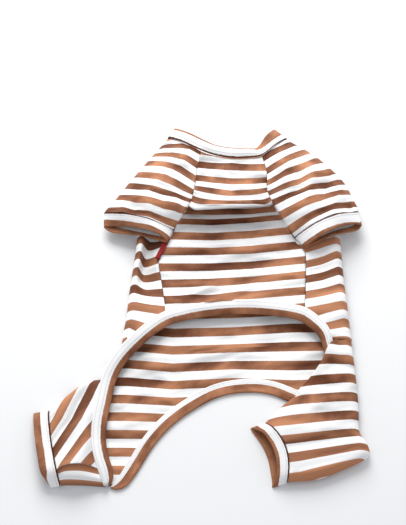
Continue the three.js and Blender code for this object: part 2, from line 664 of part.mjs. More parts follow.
function rightLegRows() {
  const body = BODY_ROWS[BODY_ROWS.length - 1];
  const strip = sideStrip(body, right);
  const start = (point) => point.clone().setY(point.y - SEAM_GAP);
  const over = SEAT_FOLD_ROWS.map((p) => at(p.topX, p.topY, p.up * BODY_HEIGHT));
  const under = seatFoot();
  under.forEach((point) => point.add(new THREE.Vector3(SEAM_GAP * 2, -SEAM_GAP * 2, 0)));
  const crotch = over[3];
  const first = [
    start(strip[3]),
    start(strip[2]),
    start(between(strip[2], over[0], 1 / 2)).setZ(strip[2].z),
    start(over[0]),
    over[1],
    over[2],
    between(over[2], over[3], 0.7),
    between(crotch, under[3], 0.7).setZ(crotch.z * 0.75),
    under[3],
    between(under[2], under[3], 0.5),
    under[2],
    under[1],
    under[0],
    start(strip[4]),
  ];
  const outerBase = start(strip[3]);
  const rings = RIGHT_LEG_ROWS.map((row) => {
    const outer = outerBase.clone();
    outer.x += row.outX * RIGHT_LEG_WIDTH;
    outer.y += row.outY * RIGHT_LEG_LENGTH;
    const inner = crotch.clone();
    inner.x += row.inX * RIGHT_LEG_WIDTH;
    inner.y += row.inY * RIGHT_LEG_LENGTH;
    const up = row.up * RIGHT_LEG_HEIGHT;
    const heights = RIGHT_LEG_TOP.map((share) => up * share);
    return legRing(outer, inner, -row.bow * RIGHT_LEG_WIDTH, heights, row.tuck);
  });
  return [first, ...rings];
}

function leg(rows, along) {
  return clothWall(smoothGrid(rows, LEG_AROUND, along, true), CLOTH, { closed: true });
}

function legCuff(rows, direction) {
  const ring = rows[rows.length - 1];
  const directions = ring.map((point) => {
    const lift = point.z > BAND ? 1 : 0;
    return new THREE.Vector3(direction[0], direction[1], direction[2] * lift);
  });
  const raised = ring.map((point) => point.clone().setZ(Math.max(point.z, BAND / 2)));
  return ringBand(raised, directions, LEG_CUFF_WIDTH, LEG_AROUND);
}

// A band along an open line of sewn edge. Each cross section leans out level, side gives which.
function edgeBand(line, side, width, drop) {
  const grid = line.map((point, i) => {
    const before = line[Math.max(i - 1, 0)];
    const after = line[Math.min(i + 1, line.length - 1)];
    const run = new THREE.Vector3().subVectors(after, before).setZ(0).normalize();
    const out = new THREE.Vector3(-run.y, run.x, 0).multiplyScalar(side);
    return BAND_SHARES.map((share) => {
      const place = point.clone().addScaledVector(out, SEAM_GAP + share * width);
      place.z = Math.max(place.z - drop * share ** 2, BAND / 2);
      return place;
    });
  });
  return clothWall(grid, BAND);
}

function bellyBinding() {
  const strip = (side) => BODY_ROWS.slice(ARCH_ROW + 1).map((row) => seamPoint(row, side));
  const rightStrip = strip(right).reverse();
  const hidden = HIDDEN_BINDING_ROWS.map((p) => at(p.x, p.y, p.up * BODY_HEIGHT));
  const joined = smoothLine([...hidden, rightStrip[0]], [2, 2, 2]);
  const front = frontGrid();
  const arch = front[front.length - 1].slice().reverse();
  const side = SEAT_SIDE_ROWS.slice(1).map((p) => at(p.x, p.y, p.up * BODY_HEIGHT));
  const line = [...joined, ...rightStrip.slice(1), ...arch, ...strip(left), ...side];
  return edgeBand(line, 1, BINDING_WIDTH, BAND / 2);
}

function tailBinding() {
  const line = backGrid().hem.map((point) => point.clone().setZ(BAND / 2));
  return edgeBand(line, -1, BINDING_WIDTH, 0);
}

function neckBand() {
  const [leftEnd] = sleeveRows(left);
  const [rightEnd] = sleeveRows(right);
  const back = at(0, BACK_NECK, ON_TABLE);
  back.x = (leftEnd[7].x + rightEnd[7].x) / 2;
  const [bib] = frontRows();
  const seams = {
    leftFront: leftEnd[0],
    leftTop: leftEnd[2],
    leftFold: leftEnd[4],
    leftUnder: leftEnd[6],
    leftBack: leftEnd[7],
    back,
    rightBack: rightEnd[7],
    rightUnder: rightEnd[6],
    rightFold: rightEnd[4],
    rightTop: rightEnd[2],
    rightFront: rightEnd[0],
    bibRight: bib[6],
    bibMiddle: bib[4],
    bibLeft: bib[2],
  };
  const start = SEAM_GAP * 3;
  const place = (row, share, lift) => {
    const angle = THREE.MathUtils.degToRad(row.turn);
    const out = new THREE.Vector3(Math.cos(angle), Math.sin(angle), 0);
    const point = seams[row.seam].clone();
    point.addScaledVector(out, start + share * (NECK_BAND_WIDTH - start));
    return point.setZ(point.z + lift * NECK_BAND_WIDTH);
  };
  const rows = [
    NECK_ROWS.map((row) => place(row, 0, 0)),
    NECK_ROWS.map((row) => place(row, 1 / 2, row.crest)),
    NECK_ROWS.map((row) => place(row, 1, row.free)),
  ];
  const steps = NECK_ROWS.map(() => 2);
  return clothWall(smoothGrid(rows, steps, [2, 2], true), BAND, { closed: true });
}

// A bare label, sewn into the left side seam under the cuff.
function sideLabel() {
  const armpit = seamPoint(BODY_ROWS[ARMPIT_ROW], left);
  const below = seamPoint(BODY_ROWS[ARMPIT_ROW + 1], left);
  const top = between(armpit, below, LABEL_PLACE);
  top.z += (CLOTH + LABEL_THICKNESS) / 2 + LAYER_GAP;
  const across = new THREE.Vector3(-LABEL_RUN.y, LABEL_RUN.x, 0);
  const rows = [0, 1 / 2, 1].map((share) => [-1 / 2, 1 / 2].map((half) => (
    top.clone().addScaledVector(LABEL_RUN, share * LABEL_LENGTH)
      .addScaledVector(across, half * LABEL_WIDTH)
  )));
  return clothWall(smoothGrid(rows, [1], [2, 2]), LABEL_THICKNESS);
}

const garment = new THREE.Group();

function addPiece(name, geometry, color) {
  const mesh = new THREE.Mesh(geometry, cloth(color));
  mesh.name = name;
  garment.add(mesh);
}

addPiece('back_panel', backPanel(), BROWN);
addPiece('front_panel', frontPanel(), BROWN);
addPiece('left_sleeve', sleeve(left), BROWN);
addPiece('right_sleeve', sleeve(right), BROWN);
addPiece('left_sleeve_cuff', sleeveCuff(left), WHITE);
addPiece('right_sleeve_cuff', sleeveCuff(right), WHITE);
addPiece('left_leg', leg(leftLegRows(), LEFT_LEG_ALONG), BROWN);
addPiece('right_leg', leg(rightLegRows(), RIGHT_LEG_ALONG), BROWN);
addPiece('left_leg_cuff', legCuff(leftLegRows(), LEG_CUFF_ROWS.left), WHITE);
addPiece('right_leg_cuff', legCuff(rightLegRows(), LEG_CUFF_ROWS.right), WHITE);
addPiece('neck_band', neckBand(), WHITE);
addPiece('belly_binding', bellyBinding(), WHITE);
addPiece('tail_binding', tailBinding(), WHITE);
addPiece('side_label', sideLabel(), RED);

// The origin is under the middle of the garment, on the table.
const box = new THREE.Box3().setFromObject(garment);
const middle = box.getCenter(new THREE.Vector3());
garment.position.set(-middle.x, -middle.y, -box.min.z);

export default garment;
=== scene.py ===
# %% [markdown]
# # A striped dog jumpsuit, laid out flat on its back
# The real thing is sewn from single jersey, yarn-dyed in brown and white stripes of one
# centimetre each, with folded bands of the same jersey at the neck, the cuffs, the belly
# arch and the rear hem. Every piece here is one sheet of cloth: a smooth grid of points is
# laid where the cut piece lies, its UVs count the stripes, and a thin wall is put on it.
# %% Load the frame that the CAD model gives
import math

import bpy
import numpy as np
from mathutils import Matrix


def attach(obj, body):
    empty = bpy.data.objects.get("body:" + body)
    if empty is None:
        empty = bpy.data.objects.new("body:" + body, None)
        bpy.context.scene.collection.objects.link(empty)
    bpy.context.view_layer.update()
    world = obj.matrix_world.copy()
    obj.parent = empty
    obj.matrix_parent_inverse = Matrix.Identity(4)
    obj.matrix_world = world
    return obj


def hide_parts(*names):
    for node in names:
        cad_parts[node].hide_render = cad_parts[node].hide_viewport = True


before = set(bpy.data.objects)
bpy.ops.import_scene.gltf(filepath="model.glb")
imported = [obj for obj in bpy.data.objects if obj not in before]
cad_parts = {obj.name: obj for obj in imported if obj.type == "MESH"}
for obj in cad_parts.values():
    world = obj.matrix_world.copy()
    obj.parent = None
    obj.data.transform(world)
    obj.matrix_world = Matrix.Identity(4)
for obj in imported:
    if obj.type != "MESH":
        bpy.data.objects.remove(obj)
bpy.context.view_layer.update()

# %% [markdown]
# ## Sizes
# All of the pattern's numbers are in millimetres, from the middle of the back: x runs
# across the body, y from the rear hem to the neck, z up. CENTRE moves that pattern onto
# the frame's origin.
# %% Sizes of the garment
CHEST = 220.0
BACK = 250.0
BELLY_UP = 13.0
CHEST_UP = 37.0
SLEEVE = 76.0
SLEEVE_UP = 14.0
JERSEY = 0.8
BAND = 1.7
SEAM = 0.35
STRIPES = 20.0
CENTRE = np.array([35.776, -88.21, 0.0])
LEFT, RIGHT = -1, 1


def at(across, along, up):
    """A point of the pattern, from shares of the chest and the back, and a height."""
    return np.array([across * CHEST, along * BACK, up], float)


# %% [markdown]
# ## Smooth lines and grids
# Cloth has no corners except where it is creased, so each piece starts as a few rows of
# points and a smooth curve is drawn through them, first along each row and then from row
# to row. The curve passes through every point, which keeps the seams where they belong.
# %% Smooth lines through rows of points
def smooth(points, steps, closed=False):
    """A curve through points along the first axis, with so many steps for each span."""
    points = np.asarray(points, float)
    count = len(points)
    spans = count if closed else count - 1
    steps = [steps] * spans if np.isscalar(steps) else steps
    line = []
    for span in range(spans):
        start, end = points[span], points[(span + 1) % count]
        before = points[span - 1] if closed or span else 2 * start - end
        after = points[(span + 2) % count] if closed or span + 2 < count else 2 * end - start
        gaps = [
            np.sqrt(np.linalg.norm(b - a, axis=-1, keepdims=True))
            for a, b in ((before, start), (start, end), (end, after))
        ]
        here = np.where(gaps[1] < 1e-4, 1, gaps[1])
        back = np.where(gaps[0] < 1e-4, here, gaps[0])
        ahead = np.where(gaps[2] < 1e-4, here, gaps[2])
        leave = (start - before) / back - (end - before) / (back + here) + (end - start) / here
        reach = (end - start) / here - (after - start) / (here + ahead) + (after - end) / ahead
        leave, reach = leave * here, reach * here
        for step in range(steps[span]):
            t = step / steps[span]
            line.append(
                start
                + leave * t
                + (3 * (end - start) - 2 * leave - reach) * t**2
                + (2 * (start - end) + leave + reach) * t**3
            )
    if not closed:
        line.append(points[-1])
    return np.array(line)


def smooth_grid(rows, across, along, closed=False):
    """A grid through rows of points, which run across and may close into rings."""
    lines = np.array([smooth(row, across, closed) for row in rows])
    return smooth(lines, along)


def blend_rows(values, across, along, closed=False):
    """Numbers stated at a grid's own rows and columns, spread over the finer grid."""
    values = np.asarray(values, float)
    if closed:
        values = np.concatenate([values, values[:, :1]], axis=1)
    lines = np.array([spread(row, across) for row in values])
    grid = np.array([spread(column, along) for column in lines.T]).T
    return grid[:, :-1] if closed else grid


def spread(values, steps):
    """A list of numbers with steps between each two."""
    steps = [steps] * (len(values) - 1) if np.isscalar(steps) else steps
    places = np.concatenate([[0], np.cumsum(steps)])
    return np.interp(np.arange(places[-1] + 1), places, values)


# %% [markdown]
# ## The stripes
# The stripes are knitted into the cloth, so they belong to the cloth's own coordinates
# and not to the room. Each sheet gets a UV map in which one unit of V is one brown and
# one white stripe, and U is measured the same way along the stripe. A stripe lay says
# where the middle of each brown stripe crosses a few lines down the piece.
# %% Where the stripes of the body lie
# brown stripe number: y of its middle, at these x
BACK_LAY_X = [-111, -66, -6, 54, 109]
BACK_LAY = {
    -9: [358, 356, 355, 355, 356],
    0: [176, 175, 174, 174, 175.6],
    3: [118, 117, 117, 117.5, 118.4],
    6: [58, 53.4, 55.1, 59.6, 59.2],
    9: [0, -4, -0.5, -3.5, -1],
    12: [-55.5, -56, -58, -64.5, -59],
    15: [-110, -112, -114, -122, -116],
}
BELLY_LAY_X = [-76, -26, 14, 69]
BELLY_LAY = {
    -2: [190, 188.6, 189, 195],
    -1: [180, 178, 181, 187],
    1: [142, 141, 143, 149.5],
    3: [103.5, 105, 107.5, 114],
    5: [66, 67, 72, 77],
}


def stripe_count(x, y, lay_x, lay):
    """How many stripes down the cloth a place lies, from a stripe lay."""
    numbers = np.array(sorted(lay), float)
    columns = np.array([lay[n] for n in sorted(lay)])
    crossings = np.array([np.interp(x, lay_x, row) for row in columns])
    counts = np.empty(x.shape)
    for i in np.ndindex(x.shape):
        heights = crossings[(slice(None),) + i][::-1]
        counts[i] = np.interp(y[i], heights, numbers[::-1])
        if y[i] > heights[-1]:
            counts[i] = numbers[0] - (y[i] - heights[-1]) / STRIPES
        if y[i] < heights[0]:
            counts[i] = numbers[-1] + (heights[0] - y[i]) / STRIPES
    return counts + 0.25


# %% [markdown]
# ## From a grid to a sheet of cloth
# A sheet could be a plane with a Solidify modifier; here the wall is made at once, because
# then the raw edge at each seam is closed and stands upright beside its neighbour. The
# sheet is laid no lower than the table. Its cut size is measured along its threads, the
# way a pattern piece is measured before it's sewn.
# %% Make a sheet from its grid
def corner_normals(points, quads):
    normals = np.zeros_like(points)
    a, b, c, d = (points[quads[:, i]] for i in range(4))
    face = np.cross(c - a, d - b)
    for i in range(4):
        np.add.at(normals, quads[:, i], face)
    return normals / np.maximum(np.linalg.norm(normals, axis=1, keepdims=True), 1e-9)


def sheet_mesh(name, grid, cloth, thick, closed=False, keep=None, rim=None):
    """A closed wall of even thickness round a grid, with the cloth's own UVs."""
    tall, wide = grid.shape[:2]
    grid = grid.copy()
    grid[..., 2] = np.maximum(grid[..., 2], thick / 2 + 0.02)
    points = grid.reshape(-1, 3)
    last = wide if closed else wide - 1
    cells = [(r, c) for r in range(tall - 1) for c in range(last) if keep is None or keep(r, c)]
    quads = np.array(
        [
            (r * wide + c, r * wide + (c + 1) % wide, (r + 1) * wide + (c + 1) % wide, (r + 1) * wide + c)
            for r, c in cells
        ]
    )
    uv_cells = np.array(
        [(cloth[r, c], cloth[r, c + 1], cloth[r + 1, c + 1], cloth[r + 1, c]) for r, c in cells]
    )
    normals = corner_normals(points, quads)
    if rim is not None:
        for i in range(len(points)):
            if rim(i // wide, i % wide):
                normals[i] = (0, 0, 1 if normals[i, 2] >= 0 else -1)
    top = points + normals * thick / 2
    low = points - normals * thick / 2
    count = len(points)
    edges = {}
    for quad, uv in zip(quads, uv_cells):
        for i in range(4):
            edge = (quad[i], quad[(i + 1) % 4])
            if edge[::-1] in edges:
                del edges[edge[::-1]]
            else:
                edges[edge] = (uv[i], uv[(i + 1) % 4])
    rims = [(b, a, a + count, b + count) for a, b in edges]
    rim_uvs = [(uv_b, uv_a, uv_a, uv_b) for uv_a, uv_b in edges.values()]
    faces = np.concatenate([quads, quads[:, ::-1] + count, np.array(rims)])
    uvs = np.concatenate([uv_cells, uv_cells[:, ::-1], np.array(rim_uvs)])
    used, where = np.unique(faces, return_inverse=True)
    both = (np.concatenate([top, low]) + CENTRE) / 1000
    mesh = bpy.data.meshes.new(name)
    mesh.from_pydata(both[used].tolist(), [], where.reshape(faces.shape).tolist())
    layer = mesh.uv_layers.new(name="cloth")
    layer.data.foreach_set("uv", (uvs.reshape(-1) / STRIPES).astype(np.float32))
    mesh.polygons.foreach_set("use_smooth", [True] * len(mesh.polygons))
    for polygon in list(mesh.polygons)[2 * len(quads):]:
        polygon.use_smooth = False
    mesh.validate()
    return mesh


def arc(points, axis, closed=False):
    """Mean length of a grid's lines along one axis."""
    if closed:
        points = np.concatenate([points, points[:, :1]], axis=1)
    return float(np.linalg.norm(np.diff(points, axis=axis), axis=2).sum(axis=axis).mean())


def sheet(name, nodes, grid, cloth, thick, finish, closed=False, keep=None, rim=None):
    """A piece of cloth that stands for CAD nodes, with the size it was cut to measured."""
    mesh = sheet_mesh(name, grid, cloth, thick, closed, keep, rim)
    piece = bpy.data.objects.new("cloth_" + name, mesh)
    bpy.context.scene.collection.objects.link(piece)
    mesh.materials.append(finish)
    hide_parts(*nodes)
    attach(piece, "root")
    cut = (max(arc(grid, 1, closed) / 1000, 0.0101), arc(grid, 0) / 1000)
    return piece


# %% [markdown]
# ## The jersey
# Fine single jersey shows rows of small V-shaped loops; at a metre they read as a soft,
# faintly ribbed surface. The colour comes from the stripe count, with an edge that
# wanders by a thread or so and a little mottling of the dye. The brown also carries painted
# shade and painted light: it is darker in the hollows and paler on the crests of the same
# long waves that tilt its normals. The loops are bump, from two crossed waves, and longer
# waves stand for slack.
# %% The striped jersey
# BROWN and PALE_BROWN span the brown: in the jersey that span is partly painted shade and painted light on
# the slack waves, and in the bands a random mottle
BROWN = (0.117, 0.032, 0.0105, 1)
PALE_BROWN = (0.52, 0.226, 0.115, 1)
WHITE = (0.89, 0.885, 0.89, 1)
GREY_WHITE = (0.83, 0.83, 0.845, 1)
STITCH = (0.42, 0.42, 0.46, 1)


class Finish:
    """A short way to add nodes to one material and link them."""

    def __init__(self, name):
        self.material = bpy.data.materials.new(name)
        self.material.use_nodes = True
        self.tree = self.material.node_tree
        self.shader = self.tree.nodes["Principled BSDF"]

    def node(self, kind, **settings):
        node = self.tree.nodes.new(kind)
        for key, value in settings.items():
            setattr(node, key, value)
        return node

    def put(self, socket, value):
        if hasattr(value, "is_output"):
            self.tree.links.new(value, socket)
        else:
            socket.default_value = value

    def sum(self, operation, *values):
        node = self.node("ShaderNodeMath", operation=operation)
        for socket, value in zip(node.inputs, values):
            self.put(socket, value)
        return node.outputs[0]

    def mix(self, share, first, second):
        node = self.node("ShaderNodeMix", data_type="RGBA")
        for socket, value in zip((node.inputs[0], node.inputs[6], node.inputs[7]), (share, first, second)):
            self.put(socket, value)
        return node.outputs[2]

    def noise(self, where, scale, detail=2.0):
        node = self.node("ShaderNodeTexNoise")
        self.put(node.inputs["Vector"], where)
        node.inputs["Scale"].default_value = scale
        node.inputs["Detail"].default_value = detail
        return node.outputs["Fac"]

    def ramp(self, value, low, high, to_low=0.0, to_high=1.0):
        node = self.node("ShaderNodeMapRange", interpolation_type="SMOOTHSTEP")
        for socket, number in zip(node.inputs, (value, low, high, to_low, to_high)):
            self.put(socket, number)
        return node.outputs[0]


def cloth_places(finish):
    """The cloth's own coordinates and the loops that are knitted into it."""
    places = finish.node("ShaderNodeUVMap", uv_map="cloth").outputs[0]
    split = finish.node("ShaderNodeSeparateXYZ")
    finish.put(split.inputs[0], places)
    along, down = split.outputs[0], split.outputs[1]
    wales = finish.sum("SINE", finish.sum("MULTIPLY", along, 2 * math.pi * 22))
    courses = finish.sum("SINE", finish.sum("MULTIPLY", down, 2 * math.pi * 30))
    loops = finish.sum("ADD", wales, finish.sum("MULTIPLY", courses, 0.6))
    return places, along, down, loops


def creases(finish, places):
    """Long soft waves that run a little aslant in the cloth."""
    stretch = finish.node("ShaderNodeMapping")
    finish.put(stretch.inputs["Vector"], places)
    stretch.inputs["Rotation"].default_value = (0, 0, 0.35)
    stretch.inputs["Scale"].default_value = (0.22, 0.5, 1)
    broad = finish.noise(stretch.outputs[0], 1.0, 1.5)
    narrow = finish.noise(stretch.outputs[0], 2.3, 1.0)
    return finish.sum("ADD", broad, finish.sum("MULTIPLY", narrow, 0.3))


def knit(finish, colour, loops, places, depth=0.00012, slack=0.0):
    """Roughness, sheen and bump that every knitted piece has; slack is how deep it waves."""
    finish.put(finish.shader.inputs["Base Color"], colour)
    fuzz = finish.noise(places, 60, 4)
    finish.put(finish.shader.inputs["Roughness"], finish.ramp(fuzz, 0.2, 0.8, 0.52, 0.68))
    finish.shader.inputs["Specular IOR Level"].default_value = 0.2
    finish.shader.inputs["Sheen Weight"].default_value = 0.06
    finish.shader.inputs["Sheen Roughness"].default_value = 0.4
    bump = finish.node("ShaderNodeBump")
    bump.inputs["Strength"].default_value = 0.5
    bump.inputs["Distance"].default_value = depth
    height = finish.sum("ADD", loops, finish.sum("MULTIPLY", fuzz, 1.5))
    finish.put(bump.inputs["Height"], height)
    if slack:
        swell = finish.node("ShaderNodeBump")
        swell.inputs["Strength"].default_value = 1.0
        swell.inputs["Distance"].default_value = slack
        finish.put(swell.inputs["Height"], creases(finish, places))
        finish.put(bump.inputs["Normal"], swell.outputs[0])
    finish.put(finish.shader.inputs["Normal"], bump.outputs[0])


def stripes(finish, places, down):
    """1 in a brown stripe and 0 in a white one."""
    wander = finish.sum("MULTIPLY", finish.sum("SUBTRACT", finish.noise(places, 9, 3), 0.5), 0.035)
    turn = finish.sum("FRACT", finish.sum("ADD", down, wander))
    rise = finish.ramp(turn, 0.0, 0.022)
    fall = finish.ramp(turn, 0.5, 0.522, 1.0, 0.0)
    return finish.sum("MULTIPLY", rise, fall)


def jersey_finish():
    finish = Finish("striped_jersey")
    places, _, down, loops = cloth_places(finish)
    mottle = finish.noise(places, 0.8, 6)
    # painted shade and painted light plus dye mottle: the brown is pale on the crests and dark in the hollows
    # of the slack waves that bend the normals
    paleness = finish.sum("ADD", creases(finish, places), finish.sum("MULTIPLY", mottle, 0.5))
    brown = finish.mix(finish.ramp(paleness, 0.7, 1.1), BROWN, PALE_BROWN)
    white = finish.mix(finish.ramp(mottle, 0.3, 0.7), GREY_WHITE, WHITE)
    colour = finish.mix(stripes(finish, places, down), white, brown)
    knit(finish, colour, loops, places, slack=0.02)
    return finish.material


jersey = jersey_finish()
print("Finish:", jersey.name, len(jersey.node_tree.nodes), "nodes")

# %% [markdown]
# ## The bands
# A band is a strip of the same jersey, cut along the stripes and folded, so one half of
# it shows white and the other brown: white beside the seam, brown at the free edge. Two
# rows of stitches run along a binding's white half, and one along a cuff's or the neck
# band's, which also have a line of painted shadow in the seam, where the band meets the
# piece it is sewn to. V is 0 at the seam and 1 at the edge.
# %% The folded bands
WHITE_EDGE = 0.53


def band_finish(name, rows, seam=0.0):
    """rows are the stitch rows' places across the band; white ends at WHITE_EDGE."""
    finish = Finish(name)
    places, along, down, loops = cloth_places(finish)
    mottle = finish.ramp(finish.noise(places, 0.7, 5), 0.2, 0.8)
    brown = finish.mix(mottle, BROWN, PALE_BROWN)
    white = finish.mix(mottle, GREY_WHITE, WHITE)
    wander = finish.sum("MULTIPLY", finish.sum("SUBTRACT", finish.noise(places, 7, 3), 0.5), 0.06)
    share = finish.sum("ADD", down, wander)
    colour = finish.mix(finish.ramp(share, WHITE_EDGE - 0.02, WHITE_EDGE + 0.02), white, brown)
    # painted shadow: a dark brown line along the seam side of the band, for the shade in the crack where it
    # meets the piece it is sewn to
    if seam:
        colour = finish.mix(finish.ramp(share, seam, seam + 0.02, 1.0, 0.0), colour, (0.10, 0.035, 0.02, 1))
    for row in rows:
        off = finish.sum("ABSOLUTE", finish.sum("SUBTRACT", down, row))
        line = finish.ramp(off, 0.012, 0.03, 1.0, 0.0)
        dash = finish.sum("FRACT", finish.sum("MULTIPLY", along, 8.0))
        thread = finish.sum("MULTIPLY", line, finish.ramp(dash, 0.62, 0.7, 1.0, 0.25))
        colour = finish.mix(finish.sum("MULTIPLY", thread, 0.6), colour, STITCH)
    knit(finish, colour, loops, places, slack=0.006)
    return finish.material


band = band_finish("band_jersey", (0.14, 0.4))
cuff_band = band_finish("cuff_jersey", (0.14,), seam=0.03)
neck_jersey = band_finish("neck_jersey", (0.2,), seam=0.07)
print("Finishes:", band.name, cuff_band.name, neck_jersey.name)

# %% [markdown]
# ## The back, its side strips and the seat
# The back is one large piece. It lies flat on the table, rolls over at both side folds,
# and comes up as a strip beside the belly. Below the belly arch its left edge stands up
# as the wall of the open seat, and its right edge passes under the right leg. Each row
# here runs from the left side seam, over the fold, across the back and up to the right.
# %% The back's pattern
# left y, right y, left seam, left fold, right fold, right seam, seam up, left dip, right dip, fold up
BODY_ROWS = [
    (0.76, 0.76, -0.434, -0.455, 0.473, 0.452, 0.3, 0.28, 0.28, 0.3),
    (0.71, 0.69, -0.375, -0.468, 0.482, 0.37, 0.62, 0.5, 0.55, 0.5),
    (0.66, 0.624, -0.305, -0.475, 0.486, 0.268, 1.1, 0.3, 0.85, 0.85),
    (0.576, 0.56, -0.36, -0.48, 0.488, 0.316, 1.03, 0.15, 0.9, 1.05),
    (0.52, 0.52, -0.372, -0.487, 0.489, 0.318, 1, 0.05, 0.9, 1.1),
    (0.432, 0.432, -0.358, -0.498, 0.492, 0.313, 1, 0.3, 0.9, 1.05),
    (0.352, 0.352, -0.345, -0.507, 0.498, 0.308, 1, 0.85, 0.95, 1),
    (0.282, 0.3, -0.337, -0.512, 0.501, 0.305, 1, 1, 1, 1),
    (0.248, 0.256, -0.395, -0.517, 0.503, 0.364, 1, 1, 1, 1),
    (0.196, 0.204, -0.46, -0.526, 0.506, 0.407, 1, 1, 1, 0.95),
    (0.14, 0.164, -0.521, -0.533, 0.508, 0.414, 0.88, 0.88, 0.95, 0.88),
]
ARMPIT, ARCH = 2, 7
FOLD = 5.0
TABLE = 0.6
SHOULDERS = [(1.024, -0.155, 0.11, 0.02), (0.936, -0.25, 0.227, 0.01), (0.848, -0.345, 0.341, 0)]
SEAT_SIDE = [
    (-0.524, 0.14, 0.88),
    (-0.556, 0.1, 0.86),
    (-0.596, 0.036, 0.84),
    (-0.616, -0.03, 0.8),
    (-0.626, -0.09, 0.75),
    (-0.64, -0.16, 0.72),
    (-0.645, -0.23, 0.72),
    (-0.637, -0.3, 0.7),
    (-0.612, -0.37, 0.62),
    (-0.58, -0.436, 0.4),
]
LEG_FOLD = 3
SEAT_FOLD = [
    (0.44, 0.12, 0.416, 0.15, 1.12),
    (0.385, 0.05, 0.366, 0.064, 1),
    (0.328, -0.02, 0.302, -0.014, 0.85),
    (0.293, -0.058, 0.25, -0.068, 0.85),
]
REAR_HEM = [
    (-0.556, -0.44),
    (-0.486, -0.344),
    (-0.405, -0.22),
    (-0.323, -0.14),
    (-0.241, -0.084),
    (-0.164, -0.04),
    (-0.086, -0.012),
    (0.032, 0.004),
    (0.145, -0.004),
    (0.225, -0.028),
    (0.272, -0.052),
]
RISER = [(0, 1), (0.5, 0.92), (0.7, 0.7), (0.6, 0.35)]
SPANS = 8


def seam_point(row, side):
    return at(row[2] if side == LEFT else row[5], row[0] if side == LEFT else row[1], row[6] * BELLY_UP)


def side_strip(row, side):
    """From a side seam, over the strip and round the fold to the back."""
    seam = seam_point(row, side)
    up = row[9] * BELLY_UP
    edge = at(row[3] if side == LEFT else row[4], seam[1] / BACK, up / 2)
    depth = min(FOLD, abs(seam[0] - edge[0]) / 2 + 1.2)
    ridge = np.array([edge[0] - side * depth, edge[1], up])
    corner = np.array([edge[0] - side * FOLD, edge[1], TABLE])
    dip = row[7] if side == LEFT else row[8]
    valley = seam + (ridge - seam) * (0.5 + 0.27 * (1 - dip))
    valley[2] = dip * BELLY_UP
    return [seam, valley, ridge, edge, corner]


def back_layer(start, end, sag=0.0):
    shares = np.arange(1, SPANS) / SPANS
    return [start + (end - start) * s - [0, sag * BACK * 4 * s * (1 - s), 0] for s in shares]


def body_row(row):
    left, right = side_strip(row, LEFT), side_strip(row, RIGHT)[::-1]
    return np.array([*left, *back_layer(left[4], right[0]), *right])


def shoulder_row(row):
    start, end = at(row[1], row[0], TABLE), at(row[2], row[0], TABLE)
    return np.array([*[start] * 5, *back_layer(start, end, row[3]), *[end] * 5])


def curve(points, places):
    """Points of a smooth line at places from 0 to 1, counted from point to point."""
    fine = smooth(points, 40)
    spots = np.asarray(places) * (len(fine) - 1)
    return np.array([np.interp(spots, np.arange(len(fine)), fine[:, i]) for i in range(3)]).T


def curve_by_length(points, places):
    fine = smooth(points, 40)
    run = np.concatenate([[0], np.cumsum(np.linalg.norm(np.diff(fine, axis=0), axis=1))])
    return np.array([np.interp(np.asarray(places) * run[-1], run, fine[:, i]) for i in range(3)]).T


def seat_rows(last_row):
    shares = np.arange(SPANS + 1) / SPANS
    top = curve(last_row[4:4 + SPANS + 1], shares)
    hem = curve_by_length([at(x, y, TABLE) for x, y in REAR_HEM], shares)
    inner = [at(x, y, TABLE) + [SEAM, 0, 0] for x, y, up in SEAT_SIDE]
    inner[0], inner[-1] = top[0], hem[0]
    steps = len(inner) - 1
    fold = curve([top[-1], *[at(p[0], p[1], TABLE) for p in SEAT_FOLD]], np.arange(steps + 1) / steps)
    fold[-1] = hem[-1]
    rows = []
    for r in range(1, len(inner)):
        t = r / steps
        row = np.array(
            [
                top[c] + (hem[c] - top[c]) * t
                + inner[r] + (fold[r] - inner[r]) * s
                - (top[0] + (top[-1] - top[0]) * s) * (1 - t)
                - (hem[0] + (hem[-1] - hem[0]) * s) * t
                for c, s in enumerate(shares)
            ]
        )
        x, y, up = SEAT_SIDE[r]
        foot = at(x, y, TABLE)
        rise = up * BELLY_UP if r <= LEG_FOLD else 0
        wall = [[foot[0] - back, foot[1], max(share * rise, TABLE)] for back, share in RISER]
        if r <= LEG_FOLD:
            row[0, 0] = foot[0] + FOLD / 4
        rows.append(np.array([*wall, *row, *[row[-1]] * 4]))
    return rows


# %% [markdown]
# ### Making the back
# The wavy look of the real side strips comes from slack in the cloth beside the seams. Each
# row's dip says how deep that valley is, and the stripes slip a little along it. Where the
# back lies inside the open seat it is flat. The ripples below serve the front and sleeves.
# %% Lay the back
def ripples(points, table):
    """Adds soft ridges to a grid: x, y, angle, half length, half width and height of each."""
    grid = points.copy()
    for x, y, angle, length, width, height in table:
        turn = math.radians(angle)
        dx, dy = grid[..., 0] - x, grid[..., 1] - y
        run = dx * math.cos(turn) + dy * math.sin(turn)
        off = -dx * math.sin(turn) + dy * math.cos(turn)
        grid[..., 2] += height * np.exp(-((run / length) ** 2) - (off / width) ** 2)
    return grid


def uv_grid(grid, counts, closed=False):
    """Cloth coordinates in millimetres: along the stripes by length, down them by count."""
    ring = np.concatenate([grid, grid[:, :1]], axis=1) if closed else grid
    step = np.linalg.norm(np.diff(ring, axis=1), axis=2).mean(axis=0)
    along = np.concatenate([[0], np.cumsum(step)])
    if closed and counts.shape[1] < len(along):
        counts = np.concatenate([counts, counts[:, :1]], axis=1)
    return np.dstack([np.broadcast_to(along, counts.shape), counts * STRIPES])


